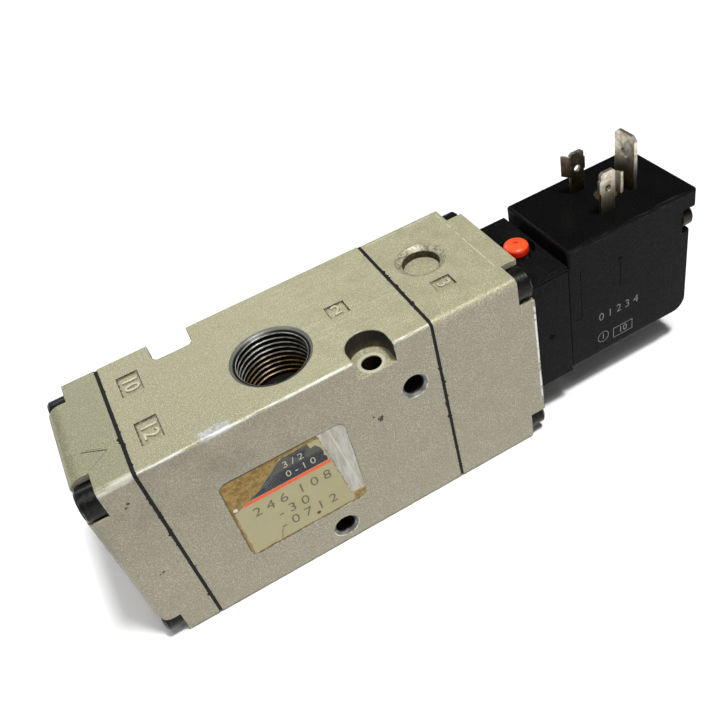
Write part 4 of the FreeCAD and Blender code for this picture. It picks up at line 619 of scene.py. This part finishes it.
def label_film(name):
    """Old printed film: cream layer, olive glue where it tore, grey residue at the right."""
    s = Shader(name, (0.40, 0.37, 0.24), roughness=0.5, specular_ior_level=0.3)
    u = s.math("SUBTRACT", s.x, LABEL_LOW.x)
    v = s.math("SUBTRACT", s.z, LABEL_LOW.z)
    ragged = s.times(s.math("SUBTRACT", s.noise(1.5, 5.0, 0.7), 0.5), 2.6)
    cloud = s.noise(5.0, 3.0)
    fibre = s.noise(0.5, 3.0, 0.6)
    cream = s.mix(cloud, (0.341, 0.303, 0.155), (0.403, 0.368, 0.219))
    cream = s.mix(s.times(s.step(fibre, 0.5, 0.75), 0.25), cream, (0.30, 0.27, 0.15))
    glue = s.mix(s.step(s.noise(1.1, 4.0, 0.7), 0.32, 0.66), (0.160, 0.088, 0.016), (0.32, 0.215, 0.055))
    upright_cloud = s.noise(2.2, 4.0, 0.6, stretch=(0.5, 1, 2.5))
    residue = s.mix(s.step(upright_cloud, 0.35, 0.65), (0.34, 0.325, 0.26), (0.47, 0.46, 0.41))

    def below(value, limit, soft, push):
        return s.step(s.math("ADD", value, s.times(ragged, push)), limit + soft, limit - soft)

    def above(value, limit, soft, push):
        return s.step(s.math("ADD", value, s.times(ragged, push)), limit - soft, limit + soft)

    # Torn corner: above two lines that climb from the left side to the top edge
    shallow = s.math("SUBTRACT", v, s.math("ADD", s.times(u, 0.475), 14.4))
    steep = s.math("SUBTRACT", v, s.math("ADD", s.times(u, 0.90), 11.57))
    slope = s.math("MINIMUM", shallow, steep)
    corner = above(slope, 0.0, 0.10, 0.16)
    top_band = above(v, 23.05, 0.20, 0.55)
    bottom_band = below(v, 0.50, 0.16, 0.40)
    left_band = below(u, 0.62, 0.16, 0.50)
    toe = s.times(above(u, 25.0, 0.3, 0.8), below(v, 2.5, 0.3, 0.5))
    color = cream
    for zone in (corner, top_band, bottom_band, left_band, toe):
        color = s.mix(zone, color, glue)
    burnt = s.math("MAXIMUM", s.step(v, 0.28, 0.05), s.step(u, 0.28, 0.05))
    burnt = s.math("MAXIMUM", burnt, s.times(s.step(v, 23.72, 23.98), s.step(u, 21.0, 19.0)))
    color = s.mix(s.times(burnt, 0.8), color, (0.055, 0.028, 0.008))
    # Peeled strip at the right
    lean = s.math("ADD", s.math("SUBTRACT", u, 24.9), s.times(v, 0.135))
    strip = s.times(above(lean, 0.0, 0.10, 0.50), above(v, 2.9, 0.2, 0.25))
    color = s.mix(strip, color, residue)
    ridge = s.step(s.math("ABSOLUTE", s.math("SUBTRACT", lean, 2.5)), 0.22, 0.05)
    color = s.mix(s.times(ridge, strip, 0.5), color, (0.60, 0.59, 0.54))
    edge_gap = s.math("ABSOLUTE", s.math("ADD", lean, s.times(ragged, 0.5)))
    edge = s.times(s.step(edge_gap, 0.20, 0.06), s.step(v, 2.5, 3.2))
    color = s.mix(s.times(edge, s.step(s.noise(0.8, 3.0), 0.42, 0.55), 0.7), color, (0.12, 0.08, 0.03))
    outline = s.times(
        s.step(s.math("ABSOLUTE", slope), 0.24, 0.08), s.step(u, 0.6, 1.6), s.step(v, 23.4, 22.8))
    color = s.mix(s.times(outline, 0.55), color, (0.09, 0.07, 0.03))
    # Crack, rust spot and pale nick
    crack_u = s.math("SUBTRACT", u, s.math("ADD", s.times(v, 0.32), 6.9))
    crack_gap = s.math("ABSOLUTE", s.math("ADD", crack_u, s.times(ragged, 0.5)))
    crack = s.times(s.step(crack_gap, 0.26, 0.08), s.step(v, 4.3, 3.9))
    color = s.mix(s.times(crack, 0.7), color, (0.17, 0.125, 0.035))
    rust = s.distance_from((LABEL_LOW.x + 16.2, 0, LABEL_LOW.z + 2.3), "y")
    color = s.mix(s.step(s.math("ADD", rust, s.times(ragged, 0.3)), 0.60, 0.30), color, (0.10, 0.040, 0.008))
    nick = s.distance_from((LABEL_LOW.x + 1.0, 0, LABEL_LOW.z + 15.6), "y")
    color = s.mix(s.step(s.math("ADD", nick, s.times(ragged, 0.45)), 0.50, 0.34), color, (0.62, 0.59, 0.50))
    s.set("Base Color", color)
    s.set("Roughness", s.blend(strip, s.blend(fibre, 0.42, 0.60), 0.34))
    s.set("Metallic", s.times(strip, 0.25))
    height = s.math("ADD", s.times(fibre, 0.3), s.times(s.math("ADD", corner, strip), -0.5))
    s.set("Normal", s.bump(height, 0.06))
    return s.material


def printed(name, color, wear):
    """Thin ink with small bare specks."""
    s = Shader(name, color, roughness=INK_ROUGHNESS, specular_ior_level=0.2)
    speck = s.step(s.noise(0.3, 2.0, 0.6), 0.42, 0.62)
    s.set("Base Color", s.mix(s.times(speck, wear), color, tuple(c * 0.45 for c in color)))
    s.set("Roughness", s.blend(speck, INK_ROUGHNESS, INK_ROUGHNESS + 0.2))
    s.set("Normal", s.bump(speck, 0.004))
    return s.material


def band_print(name):
    """Slate ink with pale scratches that run up to the right, and a worn clear patch."""
    s = Shader(name, (0.028, 0.030, 0.038), roughness=0.42, specular_ior_level=0.2)
    u = s.math("SUBTRACT", s.x, LABEL_LOW.x)
    v = s.math("SUBTRACT", s.z, LABEL_LOW.z)
    lean = s.math("SUBTRACT", v, s.times(u, 0.62))
    thin = s.node(
        "ShaderNodeTexNoise", {"Scale": 1.0, "Detail": 2.0, "Roughness": 0.6}, noise_dimensions="1D")
    s.feed(thin.inputs["W"], s.times(lean, 5.5))
    scratch = s.times(
        s.step(thin.outputs[0], 0.56, 0.66), s.step(s.noise(2.5, 3.0), 0.40, 0.60), s.step(u, 14.0, 8.0))
    base = s.mix(s.step(s.noise(0.5, 3.0), 0.4, 0.7), (0.024, 0.026, 0.033), (0.042, 0.044, 0.052))
    faded = s.times(s.step(v, 19.2, 20.2), s.step(s.noise(2.0, 3.0), 0.30, 0.50), 0.6)
    base = s.mix(faded, base, (0.115, 0.115, 0.088))
    s.set("Base Color", s.mix(s.times(scratch, 0.7), base, (0.33, 0.32, 0.27)))
    s.set("Roughness", s.blend(scratch, 0.40, 0.6))
    s.set("Normal", s.bump(thin.outputs[0], 0.004))
    return s.material


body_paint = cast_paint("body_paint", body_details, (BODY_LOW.x, BODY_HIGH.x))
cover_paint = cast_paint("cover_paint", cover_details, (COVER_HIGH.x,))
adapter_paint = cast_paint("adapter_paint", adapter_details, (ADAPTER_LOW.x,))
rubber = black_rubber("gasket_rubber")
oxide = black_oxide("black_oxide")
pilot_plastic = moulded_plastic("pilot_plastic", (0.0034, 0.0037, 0.0034), 0.44)
coil_plastic = moulded_plastic("coil_plastic", (0.0036, 0.0040, 0.0038), 0.44, extra=coil_details)
orange = button_plastic("button_orange")
tin = tinned("tinned_blades")
brass = turned_metal("turned_brass", (0.80, 0.60, 0.26), 0.22)
insert_brass = turned_metal("insert_brass", (0.72, 0.58, 0.26), 0.24, "z")
steel = turned_metal("ground_steel", (0.60, 0.60, 0.58), 0.24)
spring_steel = turned_metal("spring_steel", (0.42, 0.42, 0.43), 0.30)
yoke_steel = turned_metal("yoke_steel", (0.50, 0.50, 0.52), 0.35)
piston_metal = turned_metal("piston_metal", (0.74, 0.74, 0.75), 0.30)
screw_steel = turned_metal("screw_steel", (0.040, 0.035, 0.026), 0.38)
copper = turned_metal("copper_winding", (0.62, 0.24, 0.09), 0.30)
natural_nylon = moulded_plastic("natural_nylon", (0.55, 0.52, 0.44), 0.5, level=0.4)
film = label_film("label_film")

dress(body_paint, "main_body")
dress(cover_paint, "end_cover")
dress(adapter_paint, "adapter_plate")
dress(rubber, "end_cover_gasket", "adapter_gasket", "pilot_gasket", "guide_plug_o_rings", "override_o_ring")
dress(rubber, "supply_poppet_seal", "exhaust_poppet_seal", "piston_seal", "armature_seal")
dress(oxide, "end_cover_screws", "adapter_screws")
dress(brass, "supply_guide_plug", "exhaust_guide_plug", "supply_poppet", "exhaust_poppet", "poppet_spacer")
dress(brass, "pilot_nozzle")
dress(steel, "valve_stem", "guide_sleeve", "armature", "fixed_core", "core_tube")
dress(spring_steel, "return_spring", "override_spring", "armature_spring")
dress(spring_steel, "plug_retaining_ring", "piston_nut")
dress(yoke_steel, "yoke_washers", "yoke_sleeve")
dress(piston_metal, "pilot_piston")
dress(pilot_plastic, "pilot_body")
dress(coil_plastic, "coil_housing")
dress(natural_nylon, "coil_bobbin")
dress(copper, "coil_winding")
dress(orange, "override_button")
dress(tin, "line_terminals", "earth_terminal")
dress(insert_brass, "connector_insert")
dress(screw_steel, "pilot_screws")
dress(film, "rating_label")


# Mesh helpers

DIGIT_SHARE = 0.7  # digit height over font size


def add_mesh(name, mesh, material):
    piece = bpy.data.objects.new(name, mesh)
    bpy.context.scene.collection.objects.link(piece)
    piece.data.materials.append(material)
    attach(piece, "housing")
    return piece


def numerals(name, text, height, thickness, placement, material, bold=0.0):
    """Raised or printed digits; height is in millimetres, placement is a 4x4 matrix in metres."""
    curve = bpy.data.curves.new(name, "FONT")
    curve.body = text
    curve.size = height / DIGIT_SHARE * MM
    curve.align_x = "CENTER"
    curve.align_y = "CENTER"
    curve.extrude = thickness / 2 * MM
    curve.offset = bold * MM
    curve.resolution_u = 4
    holder = bpy.data.objects.new(name, curve)
    bpy.context.scene.collection.objects.link(holder)
    bpy.context.view_layer.update()
    mesh = bpy.data.meshes.new_from_object(holder)
    bpy.data.objects.remove(holder)
    mesh.transform(placement)
    mesh.materials.clear()
    return add_mesh(name, mesh, material)


def placed(point, right, up):
    """Matrix that puts a drawing's X along right and its Y along up, at a point in millimetres."""
    right = Vector(right).normalized()
    up = Vector(up).normalized()
    out = right.cross(up)
    return Matrix.Translation(Vector(point) * MM) @ Matrix((right, up, out)).transposed().to_4x4()


def ink_mesh(name, points, faces, placement):
    """Flat ink from (x, y) points in millimetres; faces list their points' places, anticlockwise."""
    count = len(points)
    edges = [pair for face in faces for pair in zip(face, face[1:] + face[:1])]
    border = [(a, b) for a, b in edges if (b, a) not in edges]
    lower = [face[::-1] for face in faces]
    upper = [tuple(i + count for i in face) for face in faces]
    walls = [(a, b, b + count, a + count) for a, b in border]
    mesh = bpy.data.meshes.new(name)
    mesh.from_pydata(
        [(x * MM, y * MM, z * MM) for z in (0, INK_THICKNESS) for x, y in points], [], lower + upper + walls)
    mesh.transform(placement)
    return mesh


# Springs in place of the CAD springs

CLOSED_TURNS = 0.8
STEPS_PER_TURN = 28
WIRE_SIDES = 10


def spring_mesh(name, start, axis, length, mean_radius, wire_radius, turns):
    """Compression spring with closed ends, along an axis from a point in millimetres."""
    axis = Vector(axis)
    across = Vector((0, 1, 0))
    other = axis.cross(across)
    bm = bmesh.new()
    steps = int(turns * STEPS_PER_TURN)
    rise_closed = CLOSED_TURNS * 2 * wire_radius
    rings = []
    for i in range(steps + 1):
        turn = turns * i / steps
        if turn < CLOSED_TURNS:
            climb = turn * 2 * wire_radius
        elif turn > turns - CLOSED_TURNS:
            climb = length - 2 * wire_radius - (turns - turn) * 2 * wire_radius
        else:
            share = (turn - CLOSED_TURNS) / (turns - 2 * CLOSED_TURNS)
            climb = rise_closed + share * (length - 2 * wire_radius - 2 * rise_closed)
        angle = 2 * math.pi * turn
        outward = across * math.cos(angle) + other * math.sin(angle)
        centre = Vector(start) + axis * (climb + wire_radius) + outward * mean_radius
        ring = []
        for k in range(WIRE_SIDES):
            around = 2 * math.pi * k / WIRE_SIDES
            offset = (outward * math.cos(around) + axis * math.sin(around)) * wire_radius
            ring.append(bm.verts.new((centre + offset) * MM))
        rings.append(ring)
    for first, second in zip(rings, rings[1:]):
        for k in range(WIRE_SIDES):
            n = (k + 1) % WIRE_SIDES
            bm.faces.new((first[k], first[n], second[n], second[k]))
    bm.faces.new(rings[0])
    bm.faces.new(rings[-1])
    bmesh.ops.recalc_face_normals(bm, faces=bm.faces)
    for face in bm.faces:
        face.smooth = True
    mesh = bpy.data.meshes.new(name)
    bm.to_mesh(mesh)
    bm.free()
    return mesh


def working_spring(node, axis, fixed_end, mean_radius, wire_radius, turns):
    """Spring piece in place of a CAD spring; fixed_end picks an anchor end, which is not used."""
    low, high = corners(node)
    along = [abs(a) for a in axis].index(1)
    length = high[along] - low[along]
    start = (low + high) / 2
    start[along] = low[along]
    forward = [0, 0, 0]
    forward[along] = 1
    name = node + "_piece"
    mesh = spring_mesh(name, start, forward, length, mean_radius, wire_radius, turns)
    piece = add_mesh(name, mesh, spring_steel)
    anchor = start.copy()
    if fixed_end == "high":
        anchor[along] = high[along]
    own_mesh(piece)
    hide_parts(node)


working_spring("return_spring", (1, 0, 0), "low", 5.58, 0.38, 6.2)
working_spring("override_spring", (0, 0, 1), "low", 2.48, 0.23, 5.0)
working_spring("armature_spring", (1, 0, 0), "high", 2.13, 0.23, 8.0)


# Port numbers in the sunk panels of the top face

PANEL_FLOOR = BODY_HIGH.z - 0.4
RAISED = 0.34
BODY_X = BODY_LOW.x


def port_number(name, text, centre, right, up, height, material):
    point = (centre[0], centre[1], PANEL_FLOOR + RAISED / 2 - 0.02)
    numerals(name, text, height, RAISED, placed(point, right, up), material, bold=0.05)


def number_wear_and_highlight(s, color, rough):
    """Raised numbers are painted lighter than the panels round them: worn paint with a painted highlight."""
    return s.mix(0.45, color, PAINT_LIGHT), rough


number_paint = cast_paint("number_paint", number_wear_and_highlight, worn=0.0)
port_number("port_number_10", "10", (BODY_X + 5.05, 7.4), (0, -1, 0), (1, 0, 0), 3.2, number_paint)
port_number("port_number_12", "12", (BODY_X + 5.05, -7.7), (0, -1, 0), (1, 0, 0), 3.2, number_paint)
port_number("port_number_2", "2", (BODY_X + 48.7, -0.25), (1, 0, 0), (0, 1, 0), 3.0, number_paint)
port_number(
    "port_number_3", "3", (ADAPTER_LOW.x + 8.05, -7.5), (0, -1, 0), (1, 0, 0), 2.9, number_paint)


# Label print

LABEL_FACE = LABEL_LOW.y
label_plane = placed((LABEL_LOW.x, LABEL_FACE, LABEL_LOW.z), (1, 0, 0), (0, 0, 1))
band_ink = band_print("band_ink")
stripe_ink = printed("stripe_ink", (0.78, 0.120, 0.045), 0.25)
type_ink = printed("type_ink", (0.155, 0.150, 0.095), 0.5)
pale_ink = printed("pale_ink", (0.46, 0.44, 0.32), 0.4)


def label_piece(name, outline, material, lift=0.0):
    plane = Matrix.Translation((0, -lift * MM, 0)) @ label_plane
    return add_mesh(name, ink_mesh(name, outline, [tuple(range(len(outline)))], plane), material)


def ragged_edge(start, end, steps, depth, seed):
    """Points from start to end with a torn, uneven line between them."""
    draw = random.Random(seed)
    points = []
    for i in range(1, steps):
        t = i / steps
        points.append((
            start[0] + (end[0] - start[0]) * t + draw.uniform(-depth, depth),
            start[1] + (end[1] - start[1]) * t + draw.uniform(-depth, depth)))
    return [start] + points + [end]


band = [(4.1, 16.2)]
band += ragged_edge((4.4, 16.35), (6.9, 17.55), 4, 0.05, 3)
band += ragged_edge((7.2, 17.85), (12.4, 22.5), 6, 0.08, 2)
band += ragged_edge((13.6, 23.1), (19.2, 23.2), 5, 0.12, 4)
band += ragged_edge((19.6, 21.6), (20.6, 21.9), 3, 0.15, 6)
band += ragged_edge((21.5, 20.6), (22.1, 16.2), 7, 0.22, 5)
label_piece("label_band", band[::-1], band_ink)
label_piece("label_stripe", [(2.3, 15.15), (22.6, 15.15), (22.5, 16.05), (3.9, 16.05)], stripe_ink, 0.002)


def label_text(name, text, u, v, height, material, lift=0.014):
    point = (LABEL_LOW.x + u, LABEL_FACE - lift, LABEL_LOW.z + v)
    numerals(name, text, height, INK_THICKNESS, placed(point, (1, 0, 0), (0, 0, 1)), material)


label_text("label_digits_1", "2 4 6  1 0 8", 12.8, 12.0, 2.7, type_ink)
label_text("label_digits_2", "- 3 0", 12.0, 8.1, 2.7, type_ink)
label_text("label_digits_3", "- 0 7 1 2", 14.6, 4.2, 2.7, type_ink)
label_text("label_band_1", "3 / 2", 15.4, 20.9, 1.8, pale_ink, 0.026)
label_text("label_band_2", "0 - 1 0", 16.4, 18.0, 1.8, pale_ink, 0.026)


# Print on the coil's front face

COIL_FACE = COIL_LOW.y
CIRCLE_POINTS = 40
coil_ink = printed("coil_ink", (0.22, 0.22, 0.21), 0.6)


def coil_point(along, height, lift=0.008):
    return (COIL_LOW.x + along, COIL_FACE - lift, height)


def circle_outline(radius):
    angles = [2 * math.pi * i / CIRCLE_POINTS for i in range(CIRCLE_POINTS)]
    return [(radius * math.cos(angle), radius * math.sin(angle)) for angle in angles]


def rectangle_outline(half_x, half_y):
    return [(-half_x, -half_y), (half_x, -half_y), (half_x, half_y), (-half_x, half_y)]


def coil_digits(name, text, along, height, size, bold=0.0):
    plane = placed(coil_point(along, height), (1, 0, 0), (0, 0, 1))
    numerals(name, text, size, INK_THICKNESS, plane, coil_ink, bold)


def coil_frame(name, along, height, inner, outer):
    """Ring of ink between two outlines with the same number of points."""
    count = len(inner)
    faces = []
    for i in range(count):
        j = (i + 1) % count
        faces.append((count + i, count + j, j, i))
    plane = placed(coil_point(along, height, 0.0), (1, 0, 0), (0, 0, 1))
    add_mesh(name, ink_mesh(name, inner + outer, faces, plane), coil_ink)


coil_digits("coil_digits", "0 1 2 3 4", 13.8, 20.9, 2.3, -0.03)
coil_digits("coil_mark_digit", "1", 9.1, 14.3, 1.7)
coil_digits("coil_box_digits", "10", 15.0, 13.6, 1.9)
coil_frame("coil_mark_ring", 9.1, 14.3, circle_outline(1.45), circle_outline(1.62))
coil_frame("coil_mark_box", 15.0, 13.6, rectangle_outline(2.75, 1.4), rectangle_outline(2.92, 1.57))


# Floor, light and camera

LIGHT_TARGET = (0, 0, 0.02)


def area_light(name, energy, size, place):
    light = bpy.data.lights.new(name, "AREA")
    light.shape = "DISK"
    light.energy = energy
    light.size = size
    holder = bpy.data.objects.new(name, light)
    holder.location = place
    holder.rotation_euler = (Vector(LIGHT_TARGET) - Vector(place)).to_track_quat("-Z", "Y").to_euler()
    bpy.context.scene.collection.objects.link(holder)


def floor_material():
    """White paper that grows bright towards its far edge, so that it runs into the backdrop."""
    s = Shader("studio_floor", (0.93, 0.93, 0.93), roughness=0.6, emission_color=(1, 1, 1, 1))
    s.set("Base Color", s.mix(s.noise(400, 2.0), (0.92, 0.92, 0.925), (0.94, 0.94, 0.94)))
    s.set("Emission Strength", s.step(s.distance_from((0, 0, 0), "z"), GLOW_START, GLOW_FULL))
    return s.material


FLOOR_HALF = 1.2
GLOW_START = 350
GLOW_FULL = 950
floor_mesh = bpy.data.meshes.new("floor")
floor_mesh.from_pydata(
    [(-FLOOR_HALF, -FLOOR_HALF, 0), (FLOOR_HALF, -FLOOR_HALF, 0),
     (FLOOR_HALF, FLOOR_HALF, 0), (-FLOOR_HALF, FLOOR_HALF, 0)], [], [(0, 1, 2, 3)])
floor = bpy.data.objects.new("floor", floor_mesh)
floor.location.z = -0.0001
floor.data.materials.append(floor_material())
bpy.context.scene.collection.objects.link(floor)

world = bpy.data.worlds.new("studio")
world.use_nodes = True
background = world.node_tree.nodes["Background"]
background.inputs["Color"].default_value = (1, 1, 1, 1)
background.inputs["Strength"].default_value = 0.05
backdrop = world.node_tree.nodes.new("ShaderNodeBackground")
backdrop.inputs["Color"].default_value = (1, 1, 1, 1)
seen = world.node_tree.nodes.new("ShaderNodeLightPath")
either = world.node_tree.nodes.new("ShaderNodeMixShader")
world.node_tree.links.new(seen.outputs["Is Camera Ray"], either.inputs["Fac"])
world.node_tree.links.new(background.outputs["Background"], either.inputs[1])
world.node_tree.links.new(backdrop.outputs["Background"], either.inputs[2])
world.node_tree.links.new(either.outputs["Shader"], world.node_tree.nodes["World Output"].inputs["Surface"])
bpy.context.scene.world = world

area_light("key", 14.0, 0.17, (0.20, -0.26, 1.25))
area_light("soft_key", 4.0, 0.50, (0.05, -0.30, 1.25))
area_light("front_fill", 3.3, 0.40, (0.10, -1.30, 0.26))
area_light("left_fill", 2.3, 0.50, (-0.90, -0.25, 0.80))
area_light("back", 3.0, 0.40, (-0.10, 0.95, 0.75))

bpy.context.scene.view_settings.view_transform = "Standard"

camera_data = bpy.data.cameras.new("camera")
camera_data.sensor_width = 36
camera_data.lens = 41.47
camera_data.shift_x = -0.056
camera_data.shift_y = -0.0272
camera_data.clip_start = 0.01
camera = bpy.data.objects.new("camera", camera_data)
camera.location = (-0.04542, -0.13067, 0.15810)
camera.rotation_euler = tuple(math.radians(a) for a in (46.924, 10.299, -28.467))
bpy.context.scene.collection.objects.link(camera)
bpy.context.scene.camera = camera
